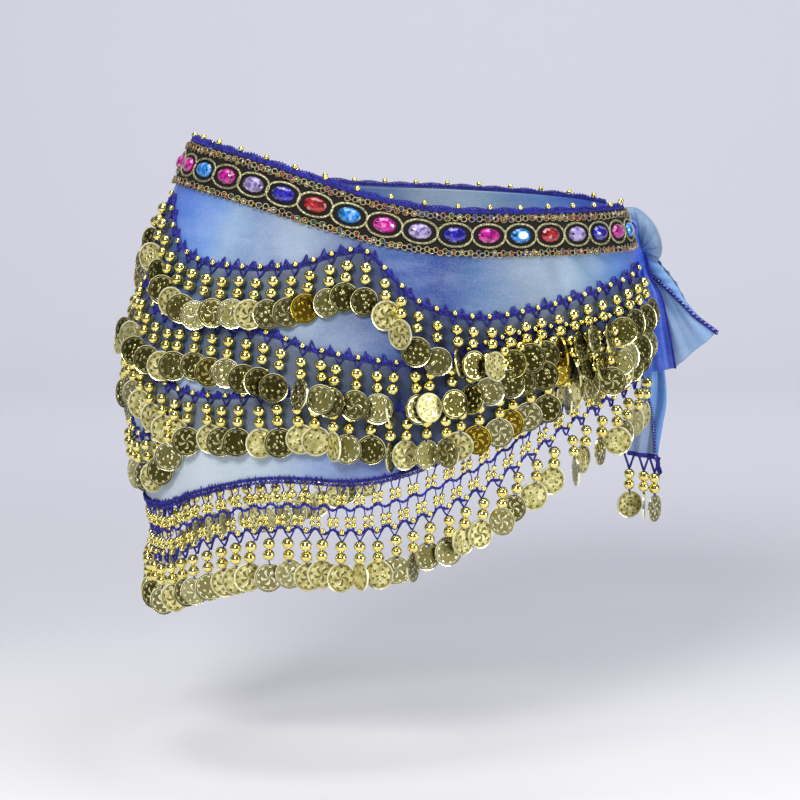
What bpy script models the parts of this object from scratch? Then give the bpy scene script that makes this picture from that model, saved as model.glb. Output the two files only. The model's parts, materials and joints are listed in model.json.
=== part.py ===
"""Belly dance hip scarf, worn round a general pair of hips and tied on the left one.

Metres, +Z up. The origin is the middle of the waist opening, where the hips hold the scarf.
The wearer faces -Y, so the left hip, with the tie, is at +X, and the scarf's centre is at -X.
Angles go round from the tie: 0 at +X, 90 at the front, 180 at the scarf's centre, 270 at the back.
The back is cut like the front, so the tables stop at 180 and are read backwards past it.
"""
import bisect
import math
from collections import namedtuple

import bmesh
import bpy
from mathutils import Vector

MM = 0.001
COLLECTION_NAME = "belly_dance_hip_scarf"

# The hips, as rings of one general figure that stands with its weight a little to the left, in millimetres
Ring = namedtuple("Ring", "height half_width half_depth centre")
HIPS = [
    Ring(70, 128, 100, 3),
    Ring(48, 135.75, 102.5, 3.25),
    Ring(20, 147, 106, 3),
    Ring(-5, 157, 110, 3),
    Ring(-35, 166.75, 115, 2.75),
    Ring(-69, 173.5, 119.5, 1.5),
    Ring(-104, 177.5, 122, 0),
    Ring(-138, 177, 120.5, -1),
    Ring(-173, 173.5, 116, -1),
    Ring(-207, 168, 111, -1),
    Ring(-242, 163.5, 107, -1),
    Ring(-290, 158.5, 104, -0.5),
]
GIRTH_HEIGHT = -104

# The lines that run round the scarf: height above the origin at each angle, in millimetres
Stop = namedtuple("Stop", "angle height")
TOP_LINE = [
    Stop(0, -10), Stop(30, -7), Stop(60, -4), Stop(90, 0), Stop(105, 7),
    Stop(120, 18), Stop(135, 28), Stop(150, 35), Stop(165, 39), Stop(180, 41),
]
ROW_1_LINE = [
    Stop(0, -44), Stop(16, -46), Stop(30, -50), Stop(50, -56), Stop(70, -64), Stop(82, -67), Stop(90, -63),
    Stop(97, -55), Stop(103, -38), Stop(109, -23), Stop(115, -24), Stop(125, -32), Stop(140, -34),
    Stop(155, -30), Stop(165, -19), Stop(173, -4), Stop(180, 7),
]
ROW_2_LINE = [
    Stop(0, -61), Stop(16, -64), Stop(30, -68), Stop(50, -75), Stop(70, -77), Stop(80, -82), Stop(90, -91),
    Stop(100, -94), Stop(110, -90), Stop(120, -84), Stop(130, -75), Stop(145, -71), Stop(160, -69),
    Stop(168, -64), Stop(174, -55), Stop(180, -48),
]
ROW_3_LINE = [
    Stop(0, -70), Stop(16, -73), Stop(30, -78), Stop(50, -86), Stop(60, -92), Stop(70, -102),
    Stop(80, -113), Stop(90, -122), Stop(100, -124), Stop(110, -118), Stop(125, -114), Stop(145, -117),
    Stop(160, -111), Stop(170, -98), Stop(180, -92),
]
ROW_4_LINE = [
    Stop(152, -125), Stop(158, -133), Stop(166, -145), Stop(174, -150), Stop(180, -149),
]
HEM_LINE = [
    Stop(0, -66), Stop(16, -80), Stop(30, -89), Stop(45, -97), Stop(60, -111), Stop(70, -128),
    Stop(80, -146), Stop(90, -159), Stop(100, -169), Stop(110, -173), Stop(125, -171), Stop(135, -174),
    Stop(150, -184), Stop(165, -196), Stop(180, -199),
]

# How the girth is shared out. The cloth starts a column from the tie, and the coin rows further off.
COLUMNS_ROUND = 64
GIRTH_STEPS = 7200
TIE_COLUMN = 1
ROW_START_COLUMN = 3
ROW_ENDS = (ROW_START_COLUMN, COLUMNS_ROUND - ROW_START_COLUMN)
CENTRE_COLUMN = COLUMNS_ROUND // 2
ROW_4_HALF_COLUMNS = 4
STRAND_STEP = 2
CLOTH_ROWS = 8
GEMS_ROUND = 33
NET_CELLS_A_HALF = 20

# Walls and seams
SEAM = 0.4 * MM
LAY = 0.3 * MM
RIBBON_LAY = 0.5 * MM
CLOTH_WALL = 1.2 * MM
NET_WALL = 1.6 * MM
TIE_WALL = 1.2 * MM

# The band round the top, measured down from its top line
BAND_DROP = 27.5 * MM
BRAID_WIDTH = 5.0 * MM
BRAID_RISE = 2.9 * MM
RIBBON_RISE = 1.7 * MM
GEM_RISE = 4.4 * MM
GEM_SHARE = 0.46
GEM_HEIGHT = 8.0 * MM
PICOT_LOW = 3.2 * MM
PICOT_HIGH = 5.6 * MM
CROCHET_WALL = 2.0 * MM

# A coin row's crochet strip, about its line
STRIP_ABOVE = 2.2 * MM
STRIP_BELOW = 2.4 * MM
STRIP_RISE = 2.0 * MM

# The open net under the hem, measured down from the hem
NET_THREADS = [
    (0.8 * MM, 5.0 * MM),
    (15.9 * MM, 18.9 * MM),
    (29.9 * MM, 31.9 * MM),
]
NET_BAR_SHARE = 0.42
HEM_ROW_DROP = 34.6 * MM

# A coin pendant: drop below its row's line, half width, and its near and far face off the cloth.
# The coin's own faces lie further out on every other row, so that coins pass over coins.
Slice = namedtuple("Slice", "drop half_width near far on_coin")
PENDANT = [
    Slice(5.6, 1.3, 2.6, 4.4, False),
    Slice(9.6, 4.0, 2.4, 6.3, False),
    Slice(17.2, 4.0, 2.4, 6.3, False),
    Slice(21.6, 4.0, 0.0, 1.2, True),
    Slice(27.2, 9.7, 0.0, 1.2, True),
    Slice(35.4, 9.7, 0.0, 1.2, True),
    Slice(41.0, 4.0, 0.0, 1.2, True),
]
COIN_LEVEL_NEAR = 6.8
COIN_LEVEL_FAR = 9.0

# The tie, in a frame of its own at the knot, which faces the front and a little to the right hip
KNOT_TOP = -14 * MM
KNOT_BOTTOM = -58 * MM
TIE_ORIGIN = Vector((0.1785, 0.0, -0.036))
TIE_TURN = math.radians(17)
TIE_ACROSS = Vector((math.cos(TIE_TURN), -math.sin(TIE_TURN), 0.0))
TIE_FORWARD = Vector((-math.sin(TIE_TURN), -math.cos(TIE_TURN), 0.0))
KnotRib = namedtuple("KnotRib", "share top_out middle_out bottom_out")
KNOT_RIBS = [
    KnotRib(-1.0, 4, 6, 6),
    KnotRib(-0.5, 7, 11, 11),
    KnotRib(0.0, 9, 13, 12),
    KnotRib(0.5, 7, 11, 11),
    KnotRib(1.0, 4, 6, 6),
]

# Sections down each loose end, in millimetres from the knot: two edges, and the folds' depth
Fold = namedtuple("Fold", "left_across left_up right_across right_up fold_depth")
WING_FORWARD = -5.0
WING_SECTIONS = [
    Fold(6.5, -22.4, 13.5, -15.5, 0.5),
    Fold(12, -35, 21, -24, 1.2),
    Fold(17, -50, 31, -36.5, 1.8),
    Fold(22, -67, 43, -50.5, 2.2),
    Fold(27.5, -88, 57.5, -62.5, 1.6),
]
FLAP_FORWARD = 7.0
FLAP_SECTIONS = [
    Fold(0.0, -22.4, 9.0, -22.4, 0.6),
    Fold(1.5, -38, 16.5, -36, 1.2),
    Fold(3.5, -61, 22, -59, 1.6),
    Fold(7, -90, 27, -86.5, 1.4),
]
HANGING_FORWARD = 1.0
HANGING_SECTIONS = [
    Fold(-2.5, -22.4, 5.5, -22.4, 0.6),
    Fold(0, -45, 10, -45, 1.2),
    Fold(3, -70, 16, -70, 1.4),
    Fold(4, -92, 20, -92, 1.6),
    Fold(1.5, -112, 21, -112, 1.6),
    Fold(-4, -130, 18.5, -130, 1.4),
    Fold(-5.5, -149, 15.5, -152.5, 1.0),
]
TIE_FOLDS_ACROSS = 8
FOLD_WAVES = 2.5

# The sheer puff beside the knot, a pouch: its outline, and half its depth
Puff = namedtuple("Puff", "across up half_depth")
LOOP_OUTLINE = [
    Puff(-5.5, 25.2, 5.5),
    Puff(-0.5, 24, 8),
    Puff(5, 20, 10),
    Puff(10.5, 14, 11.5),
    Puff(14.5, 6.5, 12),
    Puff(16.5, -1.5, 11),
    Puff(16, -8, 8.5),
    Puff(13.5, -12, 6),
]
LOOP_ROOT = (6.4, -2.0)

# Across the puff, from one root over the outline to the other: reach from the root, and share of the depth
PuffArc = namedtuple("PuffArc", "reach depth")
LOOP_ARCS = [
    PuffArc(0.3, 0.7), PuffArc(0.62, 1.0), PuffArc(0.88, 0.72), PuffArc(1.0, 0.0),
    PuffArc(0.88, -0.72), PuffArc(0.62, -1.0), PuffArc(0.3, -0.7),
]

# The three pendants at the tip of the hanging end: place across, and turn about the vertical
TailCoin = namedtuple("TailCoin", "across turn")
TAIL_COINS = [TailCoin(-5, 20), TailCoin(5.5, 90), TailCoin(13.5, 60)]
TAIL_STRIP_TOP = -150.4
TAIL_STRIP_SLANT = -0.167
TAIL_STRIP_HEIGHT = 3.2
TAIL_STRIP_HALF_WALL = 1.2
TAIL_COIN_HALF_ROOT = 2.4
TAIL_DROP_START = 0.6

COLOURS = {
    "chiffon_sky": ((0.42, 0.60, 0.88), 0.55, 0.0),
    "chiffon_royal": ((0.10, 0.20, 0.72), 0.55, 0.0),
    "crochet_blue": ((0.05, 0.05, 0.40), 0.80, 0.0),
    "ribbon_black": ((0.02, 0.02, 0.02), 0.85, 0.0),
    "braid_metal": ((0.55, 0.48, 0.32), 0.40, 0.6),
    "coin_gold": ((0.72, 0.58, 0.24), 0.30, 1.0),
}


def clear_scene():
    """Remove the objects that the scene opens with."""
    for item in list(bpy.data.objects):
        bpy.data.objects.remove(item, do_unlink=True)


def make_material(name):
    """Principled material with the part's own colour."""
    colour, roughness, metallic = COLOURS[name]
    material = bpy.data.materials.get(name) or bpy.data.materials.new(name)
    material.use_nodes = True
    shader = material.node_tree.nodes["Principled BSDF"]
    shader.inputs["Base Color"].default_value = (*colour, 1.0)
    shader.inputs["Roughness"].default_value = roughness
    shader.inputs["Metallic"].default_value = metallic
    return material


def add_object(mesh, name, material):
    """Turn a bmesh into a named object of the part."""
    data = bpy.data.meshes.new(name)
    mesh.to_mesh(data)
    mesh.free()
    data.materials.append(make_material(material))
    item = bpy.data.objects.new(name, data)
    bpy.data.collections[COLLECTION_NAME].objects.link(item)
    return item


def smooth(rows, column, place):
    """Read one column of a table on a smooth curve through its rows."""
    rows = sorted(rows, key=lambda row: row[0])
    place = min(max(place, rows[0][0]), rows[-1][0])
    after = next(i for i in range(1, len(rows)) if place <= rows[i][0])
    before = after - 1

    def slope(index):
        low = rows[max(index - 1, 0)]
        high = rows[min(index + 1, len(rows) - 1)]
        return (getattr(high, column) - getattr(low, column)) / (high[0] - low[0])

    width = rows[after][0] - rows[before][0]
    share = (place - rows[before][0]) / width
    start = getattr(rows[before], column)
    end = getattr(rows[after], column)
    return (
        start * (1 + 2 * share) * (1 - share) ** 2
        + end * share ** 2 * (3 - 2 * share)
        + width * slope(before) * share * (1 - share) ** 2
        - width * slope(after) * share ** 2 * (1 - share)
    )


def line_height(line, angle):
    """Height in metres of a line round the scarf, the back read as the front."""
    return smooth(line, "height", 180 - abs(180 - angle % 360)) * MM


def hip_point(angle, height, out=0.0):
    """Point on the hips at an angle and a height in metres, moved out by a distance."""
    half_width = smooth(HIPS, "half_width", height / MM) * MM
    half_depth = smooth(HIPS, "half_depth", height / MM) * MM
    centre = smooth(HIPS, "centre", height / MM) * MM
    turn = math.radians(angle)
    return Vector((
        centre + (half_width + out) * math.cos(turn), -(half_depth + out) * math.sin(turn), height,
    ))


def hip_frame(angle):
    """Directions along and out of the hips at an angle, both level."""
    step = 0.5
    along = hip_point(angle + step, GIRTH_HEIGHT * MM) - hip_point(angle - step, GIRTH_HEIGHT * MM)
    along.normalize()
    return along, Vector((-along.y, along.x, 0.0))


def girth_lengths():
    """Length round the girth from the tie to each of its fine steps."""
    lengths = [0.0]
    last = hip_point(0, GIRTH_HEIGHT * MM)
    for step in range(1, GIRTH_STEPS + 1):
        here = hip_point(360 * step / GIRTH_STEPS, GIRTH_HEIGHT * MM)
        lengths.append(lengths[-1] + (here - last).length)
        last = here
    return lengths


GIRTH = girth_lengths()


def column_angle(column):
    """Angle of a place round the girth, counted in columns, which may be part of one."""
    wanted = GIRTH[-1] * column / COLUMNS_ROUND
    high = max(bisect.bisect_left(GIRTH, wanted), 1)
    low = high - 1
    share = (wanted - GIRTH[low]) / (GIRTH[high] - GIRTH[low])
    return 360 * (low + share) / GIRTH_STEPS


def seam_columns():
    """Half a seam, counted in columns."""
    return 0.5 * SEAM / GIRTH[-1] * COLUMNS_ROUND


def half_columns(back):
    """Column places of the cloth's front or back half, parted by the seam at the scarf's centre."""
    if back:
        return [CENTRE_COLUMN + seam_columns(), *range(CENTRE_COLUMN + 1, COLUMNS_ROUND - TIE_COLUMN + 1)]
    return [*range(TIE_COLUMN, CENTRE_COLUMN), CENTRE_COLUMN - seam_columns()]


def open_sheet(grid, name, wall, material, gap=None):
    """Wall with its outer face on a grid of points, from an open surface and Solidify."""
    mesh = bmesh.new()
    verts = [[mesh.verts.new(point) for point in line] for line in grid]
    for across in range(len(grid) - 1):
        for down in range(len(grid[0]) - 1):
            if gap and gap(across, down):
                continue
            mesh.faces.new((
                verts[across][down], verts[across + 1][down],
                verts[across + 1][down + 1], verts[across][down + 1],
            ))
    item = add_object(mesh, name, material)
    item.data.shade_smooth()
    solidify = item.modifiers.new("wall", "SOLIDIFY")
    solidify.thickness = wall
    solidify.offset = -1.0
    return item


def loft(sections):
    """Closed solid through sections, each a loop of points. Returns it and its faces by section edge."""
    mesh = bmesh.new()
    loops = [[mesh.verts.new(point) for point in section] for section in sections]
    sides = len(sections[0])
    faces = []
    for here, after in zip(loops, loops[1:]):
        faces.append([
            mesh.faces.new((here[side], here[(side + 1) % sides], after[(side + 1) % sides], after[side]))
            for side in range(sides)
        ])
    mesh.faces.new(loops[0])
    mesh.faces.new(loops[-1])
    return mesh, faces


def add_loft(mesh, name, material):
    """Face a lofted solid outwards and make it an object."""
    bmesh.ops.recalc_face_normals(mesh, faces=mesh.faces)
    return add_object(mesh, name, material)


def hang_strand(mesh, root, slices):
    """Grow a four-sided strand out of a face, through the slices, and close its end."""
    loop = list(root.verts)
    mesh.faces.remove(root)
    for points in slices:
        ring = [mesh.verts.new(point) for point in points]
        for side in range(4):
            other = (side + 1) % 4
            mesh.faces.new((loop[side], loop[other], ring[other], ring[side]))
        loop = ring
    mesh.faces.new(loop)


def pendant_slices(place, coin_level):
    """Corners of each slice of a pendant. place(side, drop, out) gives a point, in millimetres."""
    slices = []
    for cut in PENDANT:
        lift = coin_level if cut.on_coin else 0.0
        near = cut.near + lift
        far = cut.far + lift
        slices.append([
            place(-cut.half_width, cut.drop, near),
            place(-cut.half_width, cut.drop, far),
            place(cut.half_width, cut.drop, far),
            place(cut.half_width, cut.drop, near),
        ])
    return slices


def make_cloth(name, back):
    """Half of the chiffon, from its top line to its hem."""
    grid = []
    for column in half_columns(back):
        angle = column_angle(column)
        top = line_height(TOP_LINE, angle)
        hem = line_height(HEM_LINE, angle)
        grid.append([
            hip_point(angle, top + (hem - top) * row / CLOTH_ROWS) for row in range(CLOTH_ROWS + 1)
        ])
    open_sheet(grid, name, CLOTH_WALL, "chiffon_sky")


def make_net(name, back):
    """Half of the open net under the hem: crochet threads joined by bars of beads."""
    ends = half_columns(back)
    width = (ends[-1] - ends[0]) / NET_CELLS_A_HALF
    levels = [level for thread in NET_THREADS for level in thread]
    grid = []
    for cell in range(NET_CELLS_A_HALF + 1):
        middle = ends[0] + cell * width
        for side in (-0.5, 0.5):
            column = min(max(middle + side * NET_BAR_SHARE * width, ends[0]), ends[-1])
            angle = column_angle(column)
            hem = line_height(HEM_LINE, angle)
            grid.append([hip_point(angle, hem - level) for level in levels])

    def is_hole(across, down):
        return across % 2 == 1 and down % 2 == 1

    open_sheet(grid, name, NET_WALL, "crochet_blue", is_hole)


def strip_loft(section, columns):
    """Narrow piece sewn round the scarf. section(column, angle) gives a loop of heights and outs."""
    sections = []
    for column in columns:
        angle = column_angle(column)
        sections.append([hip_point(angle, height, out) for height, out in section(column, angle)])
    return loft(sections)


def band_columns():
    """Columns from one side of the knot round to the other."""
    return range(TIE_COLUMN, COLUMNS_ROUND - TIE_COLUMN + 1)


def make_braid(name, drop):
    """Metal ring braid along one edge of the ribbon, with a raised middle."""
    def section(column, angle):
        top = line_height(TOP_LINE, angle) - drop
        bottom = top - BRAID_WIDTH
        return [(bottom, LAY), ((bottom + top) / 2, BRAID_RISE), (top, LAY)]

    mesh, faces = strip_loft(section, band_columns())
    add_loft(mesh, name, "braid_metal")


def make_ribbon():
    """Black ribbon, with an oval gem raised in each pitch of its outer points."""
    length = COLUMNS_ROUND - 2 * TIE_COLUMN
    pitch = length / GEMS_ROUND
    columns = []
    for gem in range(GEMS_ROUND):
        start = TIE_COLUMN + gem * pitch
        columns += [start, start + pitch * (1 - GEM_SHARE) / 2, start + pitch * (1 + GEM_SHARE) / 2]
    columns.append(TIE_COLUMN + length)
    raised = {column for index, column in enumerate(columns) if index % 3}

    def section(column, angle):
        top = line_height(TOP_LINE, angle) - BRAID_WIDTH - SEAM
        bottom = line_height(TOP_LINE, angle) - BAND_DROP + BRAID_WIDTH + SEAM
        middle = (top + bottom) / 2
        rise = GEM_RISE if column in raised else RIBBON_RISE
        return [
            (bottom, RIBBON_LAY), (bottom, RIBBON_RISE), (middle - GEM_HEIGHT / 2, rise),
            (middle + GEM_HEIGHT / 2, rise), (top, RIBBON_RISE), (top, RIBBON_LAY),
        ]

    mesh, faces = strip_loft(section, columns)
    add_loft(mesh, "trim_band", "ribbon_black")


def make_top_crochet():
    """Crochet edging over the top line, with pointed picots."""
    def section(column, angle):
        foot = line_height(TOP_LINE, angle) + SEAM
        tip = foot + (PICOT_HIGH if column % 2 else PICOT_LOW)
        return [(foot, -CLOTH_WALL), (foot, CROCHET_WALL - CLOTH_WALL), (tip, 0.0), (tip, -CLOTH_WALL)]

    mesh, faces = strip_loft(section, band_columns())
    add_loft(mesh, "top_crochet", "crochet_blue")


def make_coin_row(name, line, stagger, coin_level, drop=0.0, out=LAY, ends=ROW_ENDS):
    """Crochet strip on a wavy line, with a pendant hanging from every other column."""
    def row_height(angle):
        return line_height(line, angle) - drop

    def section(column, angle):
        height = row_height(angle)
        foot = height - STRIP_BELOW
        return [(foot, out), (foot, out + STRIP_RISE - LAY), (height + STRIP_ABOVE, out)]

    columns = range(ends[0], ends[1] + 1)
    mesh, faces = strip_loft(section, columns)
    for column, ring in zip(columns, faces):
        if column % STRAND_STEP != stagger:
            continue
        angle = column_angle(column + 0.5)
        height = row_height(angle)
        along, outward = hip_frame(angle)

        def place(side, down, off):
            base = hip_point(angle, height - down * MM)
            return base + along * (side * MM) + outward * (off * MM)

        hang_strand(mesh, ring[0], pendant_slices(place, coin_level))
    add_loft(mesh, name, "coin_gold")


def make_knot():
    """Knot that closes the slit between the two ends of the cloth, with a flat top and bottom."""
    reach = TIE_COLUMN - seam_columns() * 2
    sections = []
    for rib in KNOT_RIBS:
        angle = column_angle(rib.share * reach % COLUMNS_ROUND)
        middle = (KNOT_TOP + KNOT_BOTTOM) / 2
        sections.append([
            hip_point(angle, KNOT_BOTTOM, -CLOTH_WALL),
            hip_point(angle, KNOT_BOTTOM, rib.bottom_out * MM),
            hip_point(angle, middle, rib.middle_out * MM),
            hip_point(angle, KNOT_TOP, rib.top_out * MM),
            hip_point(angle, KNOT_TOP, -CLOTH_WALL),
        ])
    mesh, faces = loft(sections)
    add_loft(mesh, "tie_knot", "chiffon_royal")


def tie_point(across, up, forward):
    """Point in the tie's own frame, in millimetres from the knot."""
    return TIE_ORIGIN + (TIE_ACROSS * across + TIE_FORWARD * forward + Vector((0.0, 0.0, up))) * MM


def make_tail(name, rows, forward, material):
    """Loose end of the cloth, a sheet through its sections with soft folds down it."""
    grid = []
    for step in range(TIE_FOLDS_ACROSS + 1):
        share = step / TIE_FOLDS_ACROSS
        wave = math.sin(share * math.tau * FOLD_WAVES)
        grid.append([
            tie_point(
                row.left_across + (row.right_across - row.left_across) * share,
                row.left_up + (row.right_up - row.left_up) * share,
                forward + row.fold_depth * wave,
            )
            for row in rows
        ])
    open_sheet(grid, name, TIE_WALL, material)


def make_loop():
    """Sheer puff of cloth, a bow's loop whose fold is its outline."""
    across, up = LOOP_ROOT
    grid = []
    for arc in LOOP_ARCS:
        grid.append([
            tie_point(
                across + (puff.across - across) * arc.reach,
                up + (puff.up - up) * arc.reach,
                arc.depth * puff.half_depth,
            )
            for puff in LOOP_OUTLINE
        ])
    open_sheet(grid, "tie_loop", TIE_WALL, "chiffon_sky")


def make_tail_coins():
    """Crochet strip at the slanted tip of the hanging end, with three pendants."""
    stops = []
    for coin in TAIL_COINS:
        stops += [coin.across - TAIL_COIN_HALF_ROOT, coin.across + TAIL_COIN_HALF_ROOT]
    sections = []
    for across in stops:
        top = TAIL_STRIP_TOP + TAIL_STRIP_SLANT * across
        foot = top - TAIL_STRIP_HEIGHT
        sections.append([
            tie_point(across, foot, HANGING_FORWARD - TAIL_STRIP_HALF_WALL),
            tie_point(across, foot, HANGING_FORWARD + TAIL_STRIP_HALF_WALL),
            tie_point(across, top, HANGING_FORWARD + TAIL_STRIP_HALF_WALL),
            tie_point(across, top, HANGING_FORWARD - TAIL_STRIP_HALF_WALL),
        ])
    mesh, faces = loft(sections)
    bead_middle = (PENDANT[1].near + PENDANT[1].far) / 2
    for coin, ring in zip(TAIL_COINS, faces[::2]):
        turn = math.radians(coin.turn)
        foot = TAIL_STRIP_TOP + TAIL_STRIP_SLANT * coin.across - TAIL_STRIP_HEIGHT

        def place(side, down, off):
            depth = off - bead_middle
            return tie_point(
                coin.across + side * math.cos(turn) + depth * math.sin(turn),
                foot - down + TAIL_DROP_START,
                HANGING_FORWARD - side * math.sin(turn) + depth * math.cos(turn),
            )

        hang_strand(mesh, ring[0], pendant_slices(place, bead_middle - PENDANT[-1].far / 2))
    add_loft(mesh, "tail_coins", "coin_gold")


def build():
    """Make every piece of the scarf."""
    clear_scene()
    collection = bpy.data.collections.new(COLLECTION_NAME)
    bpy.context.scene.collection.children.link(collection)

    make_cloth("scarf_front", back=False)
    make_cloth("scarf_back", back=True)
    make_top_crochet()
    make_braid("braid_upper", 0.0)
    make_ribbon()
    make_braid("braid_lower", BAND_DROP - BRAID_WIDTH)

    make_coin_row("coin_row_1", ROW_1_LINE, 1, COIN_LEVEL_FAR)
    make_coin_row("coin_row_2", ROW_2_LINE, 0, COIN_LEVEL_NEAR)
    make_coin_row("coin_row_3", ROW_3_LINE, 1, COIN_LEVEL_FAR)
    swag = (CENTRE_COLUMN - ROW_4_HALF_COLUMNS, CENTRE_COLUMN + ROW_4_HALF_COLUMNS)
    make_coin_row("coin_row_4", ROW_4_LINE, 0, COIN_LEVEL_NEAR, ends=swag)
    make_net("hem_net_front", back=False)
    make_net("hem_net_back", back=True)
    make_coin_row("hem_coins", HEM_LINE, 0, COIN_LEVEL_NEAR, HEM_ROW_DROP, -CLOTH_WALL)

    make_knot()
    make_loop()
    make_tail("tail_wing", WING_SECTIONS, WING_FORWARD, "chiffon_royal")
    make_tail("tie_flap", FLAP_SECTIONS, FLAP_FORWARD, "chiffon_royal")
    make_tail("tail_hanging", HANGING_SECTIONS, HANGING_FORWARD, "chiffon_sky")
    make_tail_coins()


build()
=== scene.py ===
import json
import math

import bmesh
import bpy
import numpy as np
from mathutils import Matrix, Vector

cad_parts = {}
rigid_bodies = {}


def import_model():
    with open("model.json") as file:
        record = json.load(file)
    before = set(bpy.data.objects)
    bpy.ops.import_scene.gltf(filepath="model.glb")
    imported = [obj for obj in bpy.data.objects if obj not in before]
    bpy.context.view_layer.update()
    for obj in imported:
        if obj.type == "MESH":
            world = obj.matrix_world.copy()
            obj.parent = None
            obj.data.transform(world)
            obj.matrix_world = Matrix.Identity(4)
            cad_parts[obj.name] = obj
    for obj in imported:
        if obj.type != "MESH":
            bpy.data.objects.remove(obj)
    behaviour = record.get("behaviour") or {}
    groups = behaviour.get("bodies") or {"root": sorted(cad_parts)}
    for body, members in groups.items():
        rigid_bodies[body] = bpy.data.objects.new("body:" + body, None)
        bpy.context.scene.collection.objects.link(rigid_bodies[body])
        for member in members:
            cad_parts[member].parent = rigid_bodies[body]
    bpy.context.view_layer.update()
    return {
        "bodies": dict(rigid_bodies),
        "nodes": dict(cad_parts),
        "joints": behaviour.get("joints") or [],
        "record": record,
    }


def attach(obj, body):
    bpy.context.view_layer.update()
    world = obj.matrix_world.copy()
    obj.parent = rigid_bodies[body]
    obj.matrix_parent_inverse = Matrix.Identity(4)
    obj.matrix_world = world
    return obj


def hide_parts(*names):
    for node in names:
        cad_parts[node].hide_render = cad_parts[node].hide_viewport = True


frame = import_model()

MM = 0.001
random = np.random.default_rng(7)

# The worn form, as in the part's own source: rings of the hips, and lines round them, in millimetres
HIPS = np.array([
    (70, 128, 100, 3), (48, 135.75, 102.5, 3.25), (20, 147, 106, 3), (-5, 157, 110, 3),
    (-35, 166.75, 115, 2.75), (-69, 173.5, 119.5, 1.5), (-104, 177.5, 122, 0), (-138, 177, 120.5, -1),
    (-173, 173.5, 116, -1), (-207, 168, 111, -1), (-242, 163.5, 107, -1), (-290, 158.5, 104, -0.5),
])
GIRTH_HEIGHT = -104
LINES = {
    "top": [
        (0, -10), (30, -7), (60, -4), (90, 0), (105, 7), (120, 18), (135, 28), (150, 35), (165, 39),
        (180, 41),
    ],
    "row_1": [
        (0, -44), (16, -46), (30, -50), (50, -56), (70, -64), (82, -67), (90, -63), (97, -55), (103, -38),
        (109, -23), (115, -24), (125, -32), (140, -34), (155, -30), (165, -19), (173, -4), (180, 7),
    ],
    "row_2": [
        (0, -61), (16, -64), (30, -68), (50, -75), (70, -77), (80, -82), (90, -91), (100, -94), (110, -90),
        (120, -84), (130, -75), (145, -71), (160, -69), (168, -64), (174, -55), (180, -48),
    ],
    "row_3": [
        (0, -70), (16, -73), (30, -78), (50, -86), (60, -92), (70, -102), (80, -113), (90, -122), (100, -124),
        (110, -118), (125, -114), (145, -117), (160, -111), (170, -98), (180, -92),
    ],
    "row_4": [(152, -125), (158, -133), (166, -145), (174, -150), (180, -149)],
    "hem": [
        (0, -66), (16, -80), (30, -89), (45, -97), (60, -111), (70, -128), (80, -146), (90, -159),
        (100, -169), (110, -173), (125, -171), (135, -174), (150, -184), (165, -196), (180, -199),
    ],
}

# Sizes, in millimetres
PITCH = 11.9
TIE_GAP = 15.0
ROW_GAP = 40.0
HALF_SWAG = 59.0
BAND_DROP = 27.5
BRAID_WIDTH = 5.0
GEM_PITCH = 25.6
LARGE_BEAD = 4.0
SMALL_BEAD = 1.95
NET_STEP = 15.5
HEM_COIN_DROP = 33.0
BEAD_DROPS = (9.4, 17.0)
COIN_DROP = 31.4
COIN_RADIUS = 9.7
THREAD = 0.47
CORD_STEP = 0.85
CLOTH_WALL = 0.5
DYE_DEPTH = 240.0

# The photo's camera: turned to the wearer's right and raised, in degrees, and far off, in metres
VIEW_TURN, VIEW_RISE, VIEW_FAR = -17, 9, 2.0
FLOOR = -0.375

# The tie's own frame, as in the part's source
TIE_ORIGIN = Vector((0.1785, 0.0, -0.036))
TIE_TURN = math.radians(17)
TIE_ACROSS = Vector((math.cos(TIE_TURN), -math.sin(TIE_TURN), 0.0))
TIE_FORWARD = Vector((-math.sin(TIE_TURN), -math.cos(TIE_TURN), 0.0))


def curve_through(points, places):
    """Smooth curve through a table's points, read at the places given."""
    points = np.array(points, float)
    points = points[np.argsort(points[:, 0])]
    x, y = points[:, 0], points[:, 1]
    slope = np.empty_like(y)
    slope[1:-1] = (y[2:] - y[:-2]) / (x[2:] - x[:-2])
    slope[0] = (y[1] - y[0]) / (x[1] - x[0])
    slope[-1] = (y[-1] - y[-2]) / (x[-1] - x[-2])
    places = np.clip(np.asarray(places, float), x[0], x[-1])
    after = np.clip(np.searchsorted(x, places), 1, len(x) - 1)
    before = after - 1
    width = x[after] - x[before]
    share = (places - x[before]) / width
    return (
        y[before] * (1 + 2 * share) * (1 - share) ** 2
        + y[after] * share ** 2 * (3 - 2 * share)
        + width * slope[before] * share * (1 - share) ** 2
        - width * slope[after] * share ** 2 * (1 - share)
    )


def form(angle, height, out=0.0):
    """Points on the hips, in metres, from angles in degrees and heights and outs in millimetres."""
    angle, height, out = np.broadcast_arrays(np.asarray(angle, float), height, out)
    half_width = curve_through(HIPS[:, (0, 1)], height) + out
    half_depth = curve_through(HIPS[:, (0, 2)], height) + out
    centre = curve_through(HIPS[:, (0, 3)], height)
    turn = np.radians(angle)
    return np.stack([centre + half_width * np.cos(turn), -half_depth * np.sin(turn), height], -1) * MM


FINE_ANGLES = np.linspace(0, 360, 3601)
GIRTH_POINTS = form(FINE_ANGLES, GIRTH_HEIGHT)
GIRTH_LENGTHS = np.concatenate([[0], np.cumsum(np.linalg.norm(np.diff(GIRTH_POINTS, axis=0), axis=1))]) / MM
GIRTH = GIRTH_LENGTHS[-1]
# Where round the hips the band and the coin rows start and stop
BAND_ENDS = TIE_GAP, GIRTH - TIE_GAP
ROW_ENDS = ROW_GAP, GIRTH - ROW_GAP


def angle_at(distance):
    """Angle in degrees at a distance round the girth, in millimetres from the tie."""
    return np.interp(np.asarray(distance, float) % GIRTH, GIRTH_LENGTHS, FINE_ANGLES)


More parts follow.
